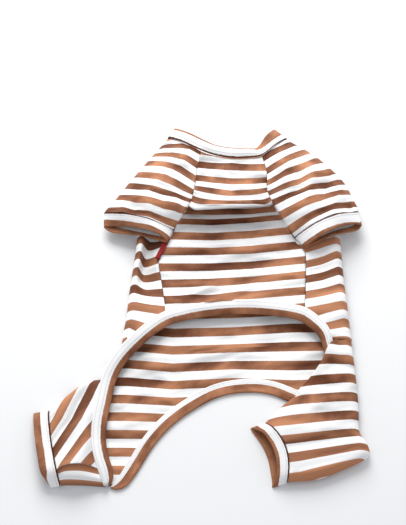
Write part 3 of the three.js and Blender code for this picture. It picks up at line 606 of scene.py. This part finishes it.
rows = [*[shoulder_row(row) for row in SHOULDERS], *[body_row(row) for row in BODY_ROWS]]
rows = [*rows, *seat_rows(rows[-1])]
FINE_ACROSS = [6, 6, 3, 3, *[12] * SPANS, 3, 3, 6, 6]
across = sum(FINE_ACROSS)
back_rows = np.array(rows)
back_grid = smooth_grid(back_rows, FINE_ACROSS, 8)
left_corner = sum(FINE_ACROSS[:4])
right_corner = left_corner + 12 * SPANS
shoulder_end = len(SHOULDERS) * 8
body_end = (len(SHOULDERS) + len(BODY_ROWS) - 1) * 8
leg_end = body_end + LEG_FOLD * 8


def keep_back(r, c):
    on_back = left_corner <= c < right_corner
    if r < shoulder_end:
        return on_back
    if r < body_end:
        return True
    if r < leg_end:
        return c < right_corner
    return on_back


lay_x = back_grid[..., 0].copy()
lay_y = back_grid[..., 1].copy()
# how far the stripes slip along a side strip, at these y
SLIP_Y = [41, 66, 90, 140]
strips = (
    (left_corner, range(left_corner), (5, 5, 5, 5)),
    (right_corner, range(right_corner + 1, across + 1), (0, 8, 8, 12)),
)
for corner, inside, skew in strips:
    for c in inside:
        share = min(abs(c - corner) / left_corner, 1)
        lay_x[:, c] = back_grid[:, corner, 0]
        slope = np.interp(back_grid[:, c, 1], SLIP_Y, skew)
        lay_y[:, c] = back_grid[:, c, 1] + slope * max(share - 0.35, 0) / 0.65
back_counts = stripe_count(lay_x, lay_y, BACK_LAY_X, BACK_LAY)
back = sheet(
    "back", ["back_panel"], back_grid, uv_grid(back_grid, back_counts), JERSEY, jersey,
    keep=keep_back, rim=lambda r, c: c in (0, across) and r >= shoulder_end,
)

# %% [markdown]
# ## The belly and the bib
# The front is one piece too: the belly between the side seams, and the bib between the
# two raglan seams. The bib is slack, so it rolls over on itself in a fold above the belly
# and throws the dark shadow below it. Its rows run down the bib, back under the fold and
# on over the belly to the arch.
# %% The front's pattern
# left x, y, up; right x, y, up; middle y, up; flatness; stripes at left, middle, right
BIB_ROWS = [
    (-0.173, 1, 1, 0.12, 0.976, 1, 0.964, 0.99, 2, -14, -5, -10),
    (-0.195, 0.888, 1, 0.141, 0.896, 1, 0.885, 1.03, 2, 19, 14.5, 11.7),
    (-0.209, 0.792, 0.97, 0.141, 0.8, 1, 0.785, 1, 4, 57, 46, 48),
    (-0.2275, 0.7425, 0.944, 0.158, 0.762, 0.983, 0.7315, 1, 12, 77.3, 74, 67.4),
    (-0.23, 0.736, 0.94, 0.16, 0.757, 0.98, 0.724, 0.965, 14, 80, 78, 70),
    (-0.236, 0.728, 0.88, 0.165, 0.747, 0.935, 0.736, 0.86, 14, 82, 82, 76),
    (-0.248, 0.716, 0.82, 0.176, 0.731, 0.89, 0.785, 0.68, 14, 84, 85, 80),
    (-0.26, 0.705, 0.75, 0.19, 0.713, 0.84, 0.81, 0.54, 14, 86, 88, 84),
    (-0.272, 0.693, 0.66, 0.205, 0.692, 0.76, 0.785, 0.42, 8, 92, 92, 90),
    (-0.288, 0.678, 0.53, 0.232, 0.664, 0.62, 0.72, 0.38, 8, 112, 121, 112),
]
# bow, up, flatness
BELLY_ROWS = [
    (0.014, 1.05, 6), (0, 0.98, 4), (-0.006, 0.95, 3),
    (-0.006, 0.93, 3), (0.008, 0.95, 2), (0.042, 1, 2),
]
FRONT_SHARES = np.array([0, 0.08, 0.2, 0.35, 0.5, 0.65, 0.8, 0.92, 1])


def front_row(start, end, middle, flatness):
    centre = (start + end) / 2
    weight = 1 - np.abs(2 * FRONT_SHARES - 1) ** flatness
    row = start + (end - start) * FRONT_SHARES[:, None]
    row[:, 1] += (middle[1] - centre[1]) * weight
    row[:, 2] += (middle[2] - centre[2]) * weight
    return row


def bib_seam(row, side):
    return at(row[0], row[1], row[2] * CHEST_UP) if side == LEFT else at(row[3], row[4], row[5] * CHEST_UP)


front_rows = [
    front_row(bib_seam(r, LEFT), bib_seam(r, RIGHT), at(0, r[6], r[7] * CHEST_UP), r[8]) for r in BIB_ROWS
]
for (bow, up, flatness), body in zip(BELLY_ROWS, BODY_ROWS[ARMPIT:]):
    start, end = seam_point(body, LEFT) + [SEAM, 0, 0], seam_point(body, RIGHT) - [SEAM, 0, 0]
    front_rows.append(front_row(start, end, at(0, (body[0] + body[1]) / 2 + bow, up * BELLY_UP), flatness))
front_rows = np.array(front_rows)

# %% Lay the belly and the bib
FRONT_ACROSS = [5, 7, 9, 9, 9, 9, 7, 5]
FRONT_ALONG = [10, 10, 9, 3, 3, 5, 5, 5, 7, 6, 8, 8, 9, 9, 8]
front_grid = smooth_grid(front_rows, FRONT_ACROSS, FRONT_ALONG)
bib_stripes = np.array([np.interp(FRONT_SHARES, [0, 0.5, 1], r[9:12]) for r in BIB_ROWS])
bib_counts = blend_rows(bib_stripes, FRONT_ACROSS, FRONT_ALONG[:9]) / STRIPES
fold_start, belly_start = sum(FRONT_ALONG[:5]), sum(FRONT_ALONG[:8])
belly = front_grid[belly_start:]
level = belly[..., 1] + 0.577 * (belly[..., 2] - BELLY_UP)
belly_counts = stripe_count(belly[..., 0], level, BELLY_LAY_X, BELLY_LAY) + 7
hidden_turn = np.linspace(0, 1, belly_start - fold_start + 1)[:-1, None]
hidden_counts = bib_counts[fold_start] * (1 - hidden_turn) + belly_counts[0] * hidden_turn
front_counts = np.concatenate([bib_counts[:fold_start], hidden_counts, belly_counts])
FRONT_RIPPLES = [
    (-8, 214, -1, 70, 6.5, -2.2),
    (-8, 201, 0, 70, 6, 0.8),
    (-40, 94, 30, 26, 4, 2.2),
    (-16, 88, 24, 28, 4, 2.0),
    (6, 95, 32, 20, 3.5, 1.8),
    (20, 88, 8, 36, 6, 1.3),
    (40, 104, 12, 40, 8, 1.2),
    (30, 150, 10, 42, 9, 1.5),
    (-30, 140, -8, 34, 8, 1.2),
]
front_grid = ripples(front_grid, FRONT_RIPPLES)
front = sheet(
    "front", ["front_panel"], front_grid, uv_grid(front_grid, front_counts), JERSEY, jersey,
    rim=lambda r, c: c in (0, sum(FRONT_ACROSS)),
)

# %% [markdown]
# ## The sleeves
# A raglan sleeve runs from the neck to the cuff and is joined to the bib along a slanting
# seam. Laid flat it is a tube: its top comes from the raglan seam, turns over at the outer
# fold and goes back underneath to the back's armhole. The stripes meet the seam at a slant.
# %% The sleeves' pattern
SLEEVE_SEAMS = [0, 1, 2, 4, 7, 9]
# out, rise, fold up, crown, under, stripes at the seam, stripes at the fold
SLEEVE_ROWS = {
    LEFT: [
        (0.474, 0.355, 1.5, 0.02, 0.3, 5, -18),
        (0.71, 0.342, 1.25, 0.05, 0.25, 37, 44),
        (0.92, 0.316, 1.08, 0.06, 0.25, 66, 83),
        (1.02, 0.265, 1, 0.06, 0.3, 97, 109),
        (1, 0.27, 0.98, 0.06, 0.5, 112, 117),
        (0.97, 0.3, 0.97, 0.09, 0.7, 126, 122),
        (0.955, 0.3, 0.95, 0.12, 0.92, 133, 128),
    ],
    RIGHT: [
        (0.375, 0.42, 1.5, 0.02, 0.3, 2, -6),
        (0.724, 0.42, 1.25, 0.05, 0.25, 26, 38),
        (1.09, 0.33, 1.08, 0.06, 0.25, 60, 86),
        (1.13, 0.25, 1.05, 0.06, 0.3, 81, 112),
        (1.09, 0.27, 1.03, 0.08, 0.5, 100, 124),
        (1, 0.36, 1, 0.12, 0.75, 120, 132),
        (0.895, 0.44, 1, 0.16, 0.98, 135, 138),
    ],
}


def armhole(side):
    shoulder = [at(row[1] if side == LEFT else row[2], row[0], TABLE) for row in SHOULDERS]
    fold_end, over_fold, armpit = (side_strip(row, side) for row in BODY_ROWS[:ARMPIT + 1])
    out = np.array([side * 0.8, 0.8, 0])
    lift = out + [0, 0, 1.7]
    between = shoulder[2] + (fold_end[4] - shoulder[2]) * 0.55
    outer = [fold_end[2] + lift, over_fold[0] + lift, armpit[0] + lift]
    return [*[p + out for p in shoulder], between + out, *outer]


def sleeve_rows(side):
    seams = [bib_seam(BIB_ROWS[r], side) for r in SLEEVE_SEAMS]
    seams.append(seam_point(BODY_ROWS[ARMPIT], side) + [0, 0, 3.4])
    rows = []
    for (out, rise, fold_up, crown, under, _, _), seam, outer in zip(SLEEVE_ROWS[side], seams, armhole(side)):
        seam = seam + [side * 0.08, 0.1, 0.3]
        up = fold_up * SLEEVE_UP
        fold = np.array([seam[0] + side * out * SLEEVE, seam[1] + rise * SLEEVE, up])
        inward = fold + (seam - fold) * FOLD / SLEEVE
        top, bottom = inward.copy(), inward.copy()
        top[2], bottom[2] = up + FOLD * 0.8, up - FOLD * 0.8
        first = seam + (top - seam) / 3 + [0, 0, crown * SLEEVE]
        second = seam + (top - seam) * 2 / 3 + [0, 0, crown * SLEEVE]
        below = (bottom + outer) / 2
        below[2] = under * SLEEVE_UP
        rows.append([seam, first, second, top, fold, bottom, below, outer])
    return np.array(rows)


# %% Lay the sleeves
SLEEVE_FINE = [8, 10, 8, 4, 4, 8, 8]
SLEEVE_SHARES = [0, 1 / 3, 2 / 3, 0.95, 1, 1.05, 1.5, 2]
SLEEVE_HUMP = {LEFT: [9, 6, 2, 0, 0, 0, 0], RIGHT: [0, 0, 1, 2, 0, 0, 0]}


def sleeve(name, side, table):
    rows = sleeve_rows(side)
    grid = smooth_grid(rows, SLEEVE_FINE, 9)
    marks = []
    for row, hump in zip(SLEEVE_ROWS[side], SLEEVE_HUMP[side]):
        swell = [hump * max(math.sin(math.pi * s), 0) for s in SLEEVE_SHARES]
        marks.append(np.interp(SLEEVE_SHARES, [0, 1, 2], [row[5], row[6], row[5]]) + swell)
    counts = blend_rows(np.array(marks), SLEEVE_FINE, 9) / STRIPES
    top = sum(SLEEVE_FINE[:3])
    grid[:, 3:top] = ripples(grid, table)[:, 3:top]
    return sheet(
        name, [name], grid, uv_grid(grid, counts), JERSEY, jersey,
        rim=lambda r, c: c == 0,
    )


LEFT_SLEEVE_RIPPLES = [
    (-60, 228, -35, 14, 6, -2.2), (-76, 222, 40, 16, 5, 1.6), (-96, 204, 12, 18, 5, 1.8),
    (-121, 182, 80, 12, 4, 2.0), (-108, 187, 80, 13, 4.5, -2.2), (-92, 183, 95, 13, 4.5, 2.2),
    (-77, 187, 100, 13, 4.5, -2.0), (-63, 186, 100, 13, 4.5, 1.8),
]
RIGHT_SLEEVE_RIPPLES = [
    (52, 228, 74, 22, 4.5, 1.8), (65, 219, 76, 26, 4.5, -2.6), (78, 216, 76, 28, 4.5, 2.6),
    (92, 208, 72, 28, 4.5, -2.6), (105, 198, 70, 24, 4.5, 2.4), (117, 186, 68, 16, 4, -1.8),
    (84, 184, 60, 14, 4.5, 1.6),
]
sleeve("left_sleeve", LEFT, LEFT_SLEEVE_RIPPLES)
sleeve("right_sleeve", RIGHT, RIGHT_SLEEVE_RIPPLES)

# %% [markdown]
# ## The cuffs
# Each cuff is a folded band sewn round the end of a sleeve or leg. It goes on in the
# direction of the tube and gapes a little, so the inside shows as a dark mouth.
# %% The sleeve cuffs
SLEEVE_CUFFS = {
    LEFT: [(-0.35, -0.9, 0.05), (0.35, -0.85, -0.2), (0.28, -0.85, -0.4), (0.15, -0.9, -0.3),
           (0.05, -0.95, -0.1), (0.1, -0.95, 0.05), (0, -0.95, 0.15)],
    RIGHT: [(0.6, -0.75, 0), (0.45, -0.8, -0.15), (0.5, -0.75, -0.4), (0.3, -0.9, -0.2),
            (0.15, -0.95, -0.1), (0.2, -0.95, 0.05), (0.4, -0.85, 0.25)],
}
CUFF_WIDE = 16.0
CUFF_REACH = {LEFT: [1, 1, 0.95, 0.95, 1.0, 1.2, 1.05], RIGHT: [1, 0.95, 0.9, 0.95, 1.0, 1.15, 1.0]}
CUFF_WHITE = {LEFT: [0.6, 0.55, 0.55, 0.5, 0.5, 0.5, 0.75], RIGHT: [0.7, 0.72, 0.8, 0.85, 0.7, 0.6, 0.7]}


def ring_band(name, seam_ring, directions, reach, white, steps, finish, thick=BAND):
    """A band round an opening: reach is how far each point goes, white how much shows white."""
    ways = np.asarray(directions, float)
    ways = ways / np.linalg.norm(ways, axis=1, keepdims=True)
    far = CUFF_WIDE * np.asarray(reach)[:, None]
    rows = np.array([seam_ring + ways * 0.8, seam_ring + ways * (far + 0.8) / 2, seam_ring + ways * far])
    grid = smooth_grid(rows, steps, [6, 6], True)
    scale = WHITE_EDGE / smooth(np.asarray(white, float)[:, None], steps, True)[:, 0]
    shares = np.linspace(0, 1, 13)[:, None] * np.append(scale, scale[0])
    return sheet(name, [name], grid, uv_grid(grid, shares, True), thick, finish, closed=True)


for side, name in ((LEFT, "left_sleeve_cuff"), (RIGHT, "right_sleeve_cuff")):
    end = sleeve_rows(side)[-1]
    ring = np.array([(end[0] + end[7]) / 2, *end[1:7]])
    ring_band(name, ring, SLEEVE_CUFFS[side], CUFF_REACH[side], CUFF_WHITE[side], 10, cuff_band)

# %% [markdown]
# ## The legs
# The legs are flattened tubes. The left leg is short and points to the side: its top is a
# sheet with slanting stripes, and it creases sharply before its front side drops to the
# table. The right leg hangs straight down beside the seat and turns its cuff inwards.
# %% Rings of a flattened tube
LEG_SHARES = [0.2, 0.42, 0.64, 0.84]


def leg_ring(outer, inner, bow, heights, tuck=0.0):
    """Over the top from the outer to the inner fold, then back along the table."""
    across = inner - outer
    length = np.linalg.norm(across)
    sideways = np.array([-across[1], across[0], 0])
    sideways /= np.linalg.norm(sideways)
    depth = FOLD / length
    shares = [depth, *LEG_SHARES, 1 - depth]

    def place(share, up):
        point = outer + across * share
        return np.array([point[0], point[1], up]) + sideways * bow * 4 * share * (1 - share)

    top = [place(s, up) for s, up in zip(shares, heights)]
    under = [place(min(s, 1 - depth - tuck), TABLE) for s in shares[::-1]]
    if tuck:
        under[1] = place(shares[4] - tuck, TABLE)
    return [place(0, heights[0] / 2), *top, place(1, heights[5] * (0.8 if tuck else 0.5)), *under]


# %% The left leg's pattern
LEFT_LEG_LONG, LEFT_LEG_WIDE, LEFT_LEG_UP = 54.0, 100.0, 20.0
LEFT_LEG_ROWS = [
    (0.31, 0.03, 0.44, -0.03, 0.75, 0.95),
    (0.61, 0.16, 0.68, 0.02, 0.78, 1),
    (0.945, 0.335, 0.76, 0.02, 0.7, 0.85),
]


def left_leg_rows():
    side = np.array([at(x, y, up * BELLY_UP) for x, y, up in SEAT_SIDE]) - [0.4, 0, 0]
    side[LEG_FOLD, 1] -= 1.2
    side[LEG_FOLD] += (side[LEG_FOLD - 1] - side[LEG_FOLD]) * 0.5
    far, near = side[LEG_FOLD], side[-1]
    shares = [0.05, *LEG_SHARES, 0.95]
    top = curve(side[LEG_FOLD:], shares)
    under = top[::-1].copy()
    under[:, 2] = TABLE
    first = [far * [1, 1, 0.5], *top, near * [1, 1, 0.5], *under]
    rings = [first]
    for far_out, far_drop, near_out, bow, up, crest in LEFT_LEG_ROWS:
        outer = far - [far_out * LEFT_LEG_LONG, far_drop * LEFT_LEG_WIDE, 0]
        inner = near - [near_out * LEFT_LEG_LONG, 0, 0]
        tall, ridge = up * LEFT_LEG_UP, crest * LEFT_LEG_UP
        heights = [tall * 0.65, tall * 0.8, tall * 0.88, tall, ridge, ridge * 0.75]
        rings.append(leg_ring(outer, inner, -bow * LEFT_LEG_WIDE, heights))
    return np.array(rings)


# %% The right leg's pattern
RIGHT_LEG_LONG, RIGHT_LEG_WIDE, RIGHT_LEG_UP = 150.0, 95.0, 14.0
RIGHT_LEG_ROWS = [
    (0.02, -0.235, -0.04, -0.03, 0, 0.92, 0.14),
    (0.03, -0.465, -0.14, -0.08, 0, 0.95, 0.13),
    (0.025, -0.645, -0.215, -0.125, 0, 1, 0),
    (0.1, -0.735, -0.25, -0.145, 0, 1, 0),
    (0.1, -0.8, -0.27, -0.16, 0, 1, 0),
    (-0.135, -0.885, -0.295, -0.175, 0.04, 1, 0),
    (-0.42, -0.955, -0.31, -0.185, 0.07, 1, 0),
    (-0.715, -0.972, -0.32, -0.195, 0.095, 1, 0),
]
RIGHT_LEG_LAY_X = [25, 55, 112]
RIGHT_LEG_LAY = {
    6: [59.6, 59.6, 59.2],
    7: [39, 39.5, 40],
    8: [17, 18, 19],
    9: [-8.5, -6.5, -0.2],
    10: [-26.5, -24.2, -20.4],
    11: [-48.5, -45.5, -39.4],
    12: [-68.5, -65, -58.4],
    13: [-87, -82.5, -72.5],
    14: [-105.5, -102.5, -86.5],
    15: [-124, -121, -104],
}


def right_leg_rows():
    strip = side_strip(BODY_ROWS[-1], RIGHT)
    down = np.array([0, -0.4, 0])
    over = [at(p[2], p[3], p[4] * BELLY_UP) for p in SEAT_FOLD]
    under = [at(p[0], p[1], TABLE) + [0.8, -0.8, 0] for p in SEAT_FOLD]
    crotch = over[3]
    joint = (strip[2] + over[0]) / 2 + down
    joint[2] = strip[2][2]
    lip = crotch + (under[3] - crotch) * 0.7
    lip[2] = crotch[2] * 0.75
    first = [
        strip[3] + down, strip[2] + down, joint, over[0] + down, over[1], over[2],
        over[2] + (over[3] - over[2]) * 0.7, lip, under[3], (under[2] + under[3]) / 2,
        under[2], under[1], under[0], strip[4] + down,
    ]
    rings = [first]
    for out_x, out_y, in_x, in_y, bow, up, tuck in RIGHT_LEG_ROWS:
        outer = strip[3] + down + [out_x * RIGHT_LEG_WIDE, out_y * RIGHT_LEG_LONG, 0]
        inner = crotch + [in_x * RIGHT_LEG_WIDE, in_y * RIGHT_LEG_LONG, 0]
        tall = up * RIGHT_LEG_UP
        heights = [tall * s for s in (0.8, 0.95, 1, 1, 0.95, 0.75)]
        rings.append(leg_ring(outer, inner, -bow * RIGHT_LEG_WIDE, heights, tuck))
    return np.array(rings)


# %% Lay the legs and their cuffs
LEG_FINE = [4, 8, 8, 8, 8, 6, 4, 4, 6, 8, 8, 8, 8, 4]
LEG_CUFFS = {LEFT: (-1, -0.08, -0.25), RIGHT: (-0.92, -0.22, -0.35)}
LEG_REACH = {
    LEFT: [1, 1, 1, 1, 1, 1, 0.8, 0.65, 0.7, 0.9, 1, 1, 1, 1],
    RIGHT: [1, 0.85, 0.8, 0.78, 0.78, 0.8, 0.9, 1, 1.05, 1.1, 1.15, 1.15, 1.1, 1],
}
LEG_WHITE = {
    LEFT: [0.53] * 5 + [0.58, 0.9, 1, 1] + [0.53] * 5,
    RIGHT: [0.6, 0.68, 0.7, 0.7, 0.7, 0.7, 0.65, 0.5, 0.45, 0.45, 0.45, 0.45, 0.45, 0.5],
}
SLANT = math.radians(60.5)
SLANT_PITCH = 16.4


def left_leg_counts(grid):
    """Stripes that climb at a slant over the top, and lie level on the front side."""
    off = (grid[..., 0] + 166.3) * math.sin(SLANT) - (grid[..., 1] + 61) * math.cos(SLANT)
    off = off + 4.5 * np.clip((grid[..., 1] + 45) / 30, 0, 1.3)
    counts = 0.25 + off / SLANT_PITCH
    front = slice(CREASE + 1, CREASE + 1 + FRONT_DROP)
    counts[:, front] = np.linspace(0.1, 1.95, FRONT_DROP)
    return counts


left_rows = left_leg_rows()
CREASE = sum(LEG_FINE[:5])
FRONT_DROP = sum(LEG_FINE[5:8]) + 1
over_top = smooth_grid(left_rows[:, :6], LEG_FINE[:5], 12)
round_under = smooth_grid(np.concatenate([left_rows[:, 5:], left_rows[:, :1]], axis=1), LEG_FINE[5:], 12)
round_under[:, 0] += [0, -0.3, -0.15]
left_leg_grid = np.concatenate([over_top, round_under[:, :-1]], axis=1)
left_leg_counted = left_leg_counts(left_leg_grid)
sheet(
    "left_leg", ["left_leg"], left_leg_grid, uv_grid(left_leg_grid, left_leg_counted, True),
    JERSEY, jersey, closed=True,
)
right_rows = right_leg_rows()
# the leg's upper end is tucked under the strip by this much, point by point round the ring
RIGHT_LEG_TUCK = [[0, 5, -1.1]] * 3 + [[2.5, 0.5, -1.4]] * 5 + [[0.5, 1, 0]] * 5 + [[0, 5, 0]]
tucked = right_rows[0] + np.array(RIGHT_LEG_TUCK)
right_leg_grid = smooth_grid(np.array([tucked, *right_rows]), LEG_FINE, 9, True)
right_leg_counted = stripe_count(
    right_leg_grid[..., 0], right_leg_grid[..., 1], RIGHT_LEG_LAY_X, RIGHT_LEG_LAY
)
sheet(
    "right_leg", ["right_leg"], right_leg_grid, uv_grid(right_leg_grid, right_leg_counted, True),
    JERSEY, jersey, closed=True,
)
for side, name, rings in ((LEFT, "left_leg_cuff", left_rows), (RIGHT, "right_leg_cuff", right_rows)):
    ring = rings[-1].copy()
    ring[:, 2] = np.maximum(ring[:, 2], BAND / 2)
    ways = [(LEG_CUFFS[side][0], LEG_CUFFS[side][1], LEG_CUFFS[side][2] if p[2] > 2.2 else 0) for p in ring]
    ring_band(name, ring, ways, LEG_REACH[side], LEG_WHITE[side], 6, cuff_band)

# %% [markdown]
# ## The bindings
# One binding follows the belly arch, from inside the right leg over the belly and down the
# left side of the open seat to the crotch; another follows the rear hem. They are narrow
# folded bands that lie level and droop a little at the free edge.
# %% Lay the bindings


LAP = 1.4
EDGE_SMOOTHING = 14


def edge_band(name, line, side, drop, width, white):
    """A folded band along a line; width is given along the line, and so is the white share."""
    line = np.array(line)
    for _ in range(EDGE_SMOOTHING):
        line[1:-1] = (line[:-2] + 2 * line[1:-1] + line[2:]) / 4
    spots = np.linspace(0, 1, len(line))
    wide = np.interp(spots, *zip(*width))
    before = np.concatenate([line[:1], line[:-1]])
    after = np.concatenate([line[1:], line[-1:]])
    run = (after - before) * [1, 1, 0]
    run /= np.linalg.norm(run, axis=1, keepdims=True)
    out = np.stack([-run[:, 1], run[:, 0], np.zeros(len(run))], axis=1) * side
    shares = np.linspace(0, 1, 11)
    grid = line[:, None] + out[:, None] * (shares[None, :, None] * (wide[:, None, None] + LAP) - LAP)
    grid[..., 2] = np.maximum(grid[..., 2] + LAP / 2 - drop * shares[None] ** 3, BAND / 2)
    grid = grid.transpose(1, 0, 2)
    counts = shares[:, None] * WHITE_EDGE / np.interp(spots, *zip(*white))
    return sheet(name, [name], grid, uv_grid(grid, counts), BAND, band)


HIDDEN_BINDING = [(0.36, -0.03, 0.36), (0.4, 0.015, 0.42), (0.428, 0.08, 0.55)]
hidden = [at(x, y, up * BELLY_UP) for x, y, up in HIDDEN_BINDING]
right_edge = [seam_point(row, RIGHT) for row in BODY_ROWS[ARCH + 1:]][::-1]
left_edge = [seam_point(row, LEFT) for row in BODY_ROWS[ARCH + 1:]]
arch = front_rows[-1][::-1]
seat_edge = [at(x, y, up * BELLY_UP) for x, y, up in SEAT_SIDE[1:]]
belly_line = smooth(np.array([*hidden, *right_edge, *arch, *left_edge, *seat_edge]), 6)
# share of the way along, then the width there in millimetres or the white share
BELLY_WIDTH = [(0, 6), (0.1, 8), (0.2, 12), (0.97, 12), (0.99, 9), (1, 4)]
BELLY_WHITE = [(0, 0.6), (0.2, 0.58), (0.6, 0.64), (1, 0.64)]
edge_band("belly_binding", belly_line, 1, 5.0, BELLY_WIDTH, BELLY_WHITE)
hem_line = back_grid[-1, left_corner:right_corner + 1].copy()
hem_line[:, 2] = BAND / 2
HEM_WIDTH = [(0, 1), (0.012, 5), (0.03, 8), (0.055, 10.5), (0.1, 11.5), (0.3, 12), (1, 13)]
HEM_WHITE = [(0, 0.3), (0.1, 0.36), (1, 0.4)]
edge_band("tail_binding", hem_line, -1, 0, HEM_WIDTH, HEM_WHITE)

# %% [markdown]
# ## The neck band
# The neck band is wider and stands away from the collar bone. At the front it shows its
# white half with a thin brown edge; at the back it lies on the table.
# %% Lay the neck band
NECK_UP = 1.2
# turn, crest, free, width, white, from the bib's left corner over the left sleeve and round
NECK_ROWS = [
    (72, 0.175, -0.15, 15, 0.72), (58, 0.175, -0.08, 15, 0.72), (60, 0.05, 0, 15, 0.76), (75, 0, 0, 16, 0.8),
    (88, 0, 0, 16, 0.6), (90, 0, 0, 16, 0.53), (92, 0, 0, 16, 0.53), (112, 0, 0, 16, 0.53),
    (138, 0.05, 0.05, 18, 0.4), (138, 0.13, 0.05, 16, 0.36), (122, 0.12, -0.12, 11.5, 0.58),
    (98, 0.175, -0.16, 14, 0.75), (90, 0.175, -0.2, 15, 0.74), (84, 0.175, -0.2, 15, 0.73),
]
left_end, right_end = sleeve_rows(LEFT)[0], sleeve_rows(RIGHT)[0]
back_neck = at(0, 1.004, TABLE)
back_neck[0] = (left_end[7, 0] + right_end[7, 0]) / 2
bib_top = front_rows[0]
neck_seam = [
    left_end[0], left_end[2], left_end[4], left_end[6], left_end[7], back_neck, right_end[7],
    right_end[6], right_end[4], right_end[2], right_end[0], bib_top[6], bib_top[4], bib_top[2],
]
neck_rows = []
for share in (0, 0.5, 1):
    ring = []
    for (turn, crest, free, wide, white), seam in zip(NECK_ROWS, neck_seam):
        way = np.array([math.cos(math.radians(turn)), math.sin(math.radians(turn)), 0])
        lift = NECK_UP + {0: 0, 0.5: crest, 1: free}[share] * wide
        ring.append(seam + way * (0.9 + share * (wide - 0.9)) + [0, 0, lift])
    neck_rows.append(ring)
neck_grid = smooth_grid(np.array(neck_rows), 9, [7, 7], True)
neck_white = WHITE_EDGE / smooth(np.array([[row[4]] for row in NECK_ROWS]), 9, True)[:, 0]
neck_shares = np.linspace(0, 1, 15)[:, None] * np.append(neck_white, neck_white[0])
sheet(
    "neck_band", ["neck_band"], neck_grid, uv_grid(neck_grid, neck_shares, True), BAND, neck_jersey,
    closed=True,
)

# %% [markdown]
# ## The label
# A short bare tape of woven red ribbon is caught in the left side seam under the cuff. It
# carries nothing. Its finish is red and reuses the jersey's fine crossed waves as bump,
# which stand in for a close weave at this size.
# %% Lay the label
def tape_finish():
    finish = Finish("label_tape")
    places, _, _, loops = cloth_places(finish)
    paleness = finish.ramp(finish.noise(places, 6, 4), 0.3, 0.7)
    colour = finish.mix(paleness, (0.10, 0.001, 0.004, 1), (0.36, 0.006, 0.014, 1))
    knit(finish, colour, loops, places, 0.0001)
    return finish.material


tape = tape_finish()
armpit, below = seam_point(BODY_ROWS[ARMPIT], LEFT), seam_point(BODY_ROWS[ARMPIT + 1], LEFT)
label_top = armpit + (below - armpit) * 0.42 + [0, 0, 1.6]
LABEL_LONG, LABEL_WIDE = 27, 5
label_run = np.array([-0.45, -1, -0.03]) / np.linalg.norm([-0.45, -1, -0.03])
label_side = np.array([-label_run[1], label_run[0], 0])
label_middle = [label_top + label_run * t * LABEL_LONG for t in np.linspace(0, 1, 14)]
label_grid = np.array(
    [[spot + label_side * s * LABEL_WIDE for s in np.linspace(-0.5, 0.5, 6)] for spot in label_middle]
)
label_grid[..., 2] += 0.5 * np.sin(np.linspace(0, 3.1, 14))[:, None]
label_counts = np.broadcast_to(np.linspace(0, 1.3, 14)[:, None], (14, 6))
sheet("side_label", ["side_label"], label_grid, uv_grid(label_grid, label_counts), 0.6, tape)

# %% [markdown]
# ## Table, light and camera
# The garment lies on a plain near-white table in soft daylight that comes from the far
# side, a little to the left. The camera stands 1.13 m above the table and looks down at
# 60 degrees.
# %% The table
def table_finish():
    finish = Finish("table_top")
    finish.put(finish.shader.inputs["Base Color"], (0.775, 0.782, 0.8, 1))
    finish.shader.inputs["Roughness"].default_value = 0.9
    return finish.material


table_mesh = bpy.data.meshes.new("table")
table_mesh.from_pydata([(-4, -3, 0), (4, -3, 0), (4, 6, 0), (-4, 6, 0)], [], [(0, 1, 2, 3)])
table = bpy.data.objects.new("table", table_mesh)
bpy.context.scene.collection.objects.link(table)
table_mesh.materials.append(table_finish())

# %% The light
world = bpy.data.worlds.new("room")
bpy.context.scene.world = world
world.use_nodes = True
world.node_tree.nodes["Background"].inputs[0].default_value = (0.95, 0.97, 1.0, 1)
world.node_tree.nodes["Background"].inputs[1].default_value = 0.68


def soft_light(name, place, aim, size, power, tint):
    lamp = bpy.data.lights.new(name, "AREA")
    lamp.shape = "DISK"
    lamp.size = size
    lamp.energy = power
    lamp.color = tint
    thing = bpy.data.objects.new(name, lamp)
    bpy.context.scene.collection.objects.link(thing)
    thing.location = place
    way = np.array(place) - aim
    thing.rotation_euler = (
        math.acos(way[2] / np.linalg.norm(way)),
        0,
        math.atan2(way[1], way[0]) + math.pi / 2,
    )
    return thing


soft_light("window", (-0.15, 1.02, 0.8), (0, 0, 0), 1.0, 21.5, (1.0, 0.985, 0.95))
bpy.context.scene.view_settings.view_transform = "Standard"

# %% The camera
eye = bpy.data.cameras.new("eye")
eye.sensor_fit = "VERTICAL"
eye.sensor_height = 36
FOCAL_PIXELS, PICTURE_HIGH = 1250, 525
eye.lens = eye.sensor_height * FOCAL_PIXELS / PICTURE_HIGH
camera = bpy.data.objects.new("camera", eye)
bpy.context.scene.collection.objects.link(camera)
camera.location = (-0.0002, 0.0478 - 0.6501, 1.126)
camera.rotation_euler = (math.radians(30), 0, 0)
bpy.context.scene.camera = camera
print("Camera:", [round(a, 3) for a in camera.location], "lens", round(eye.lens, 1), "mm")
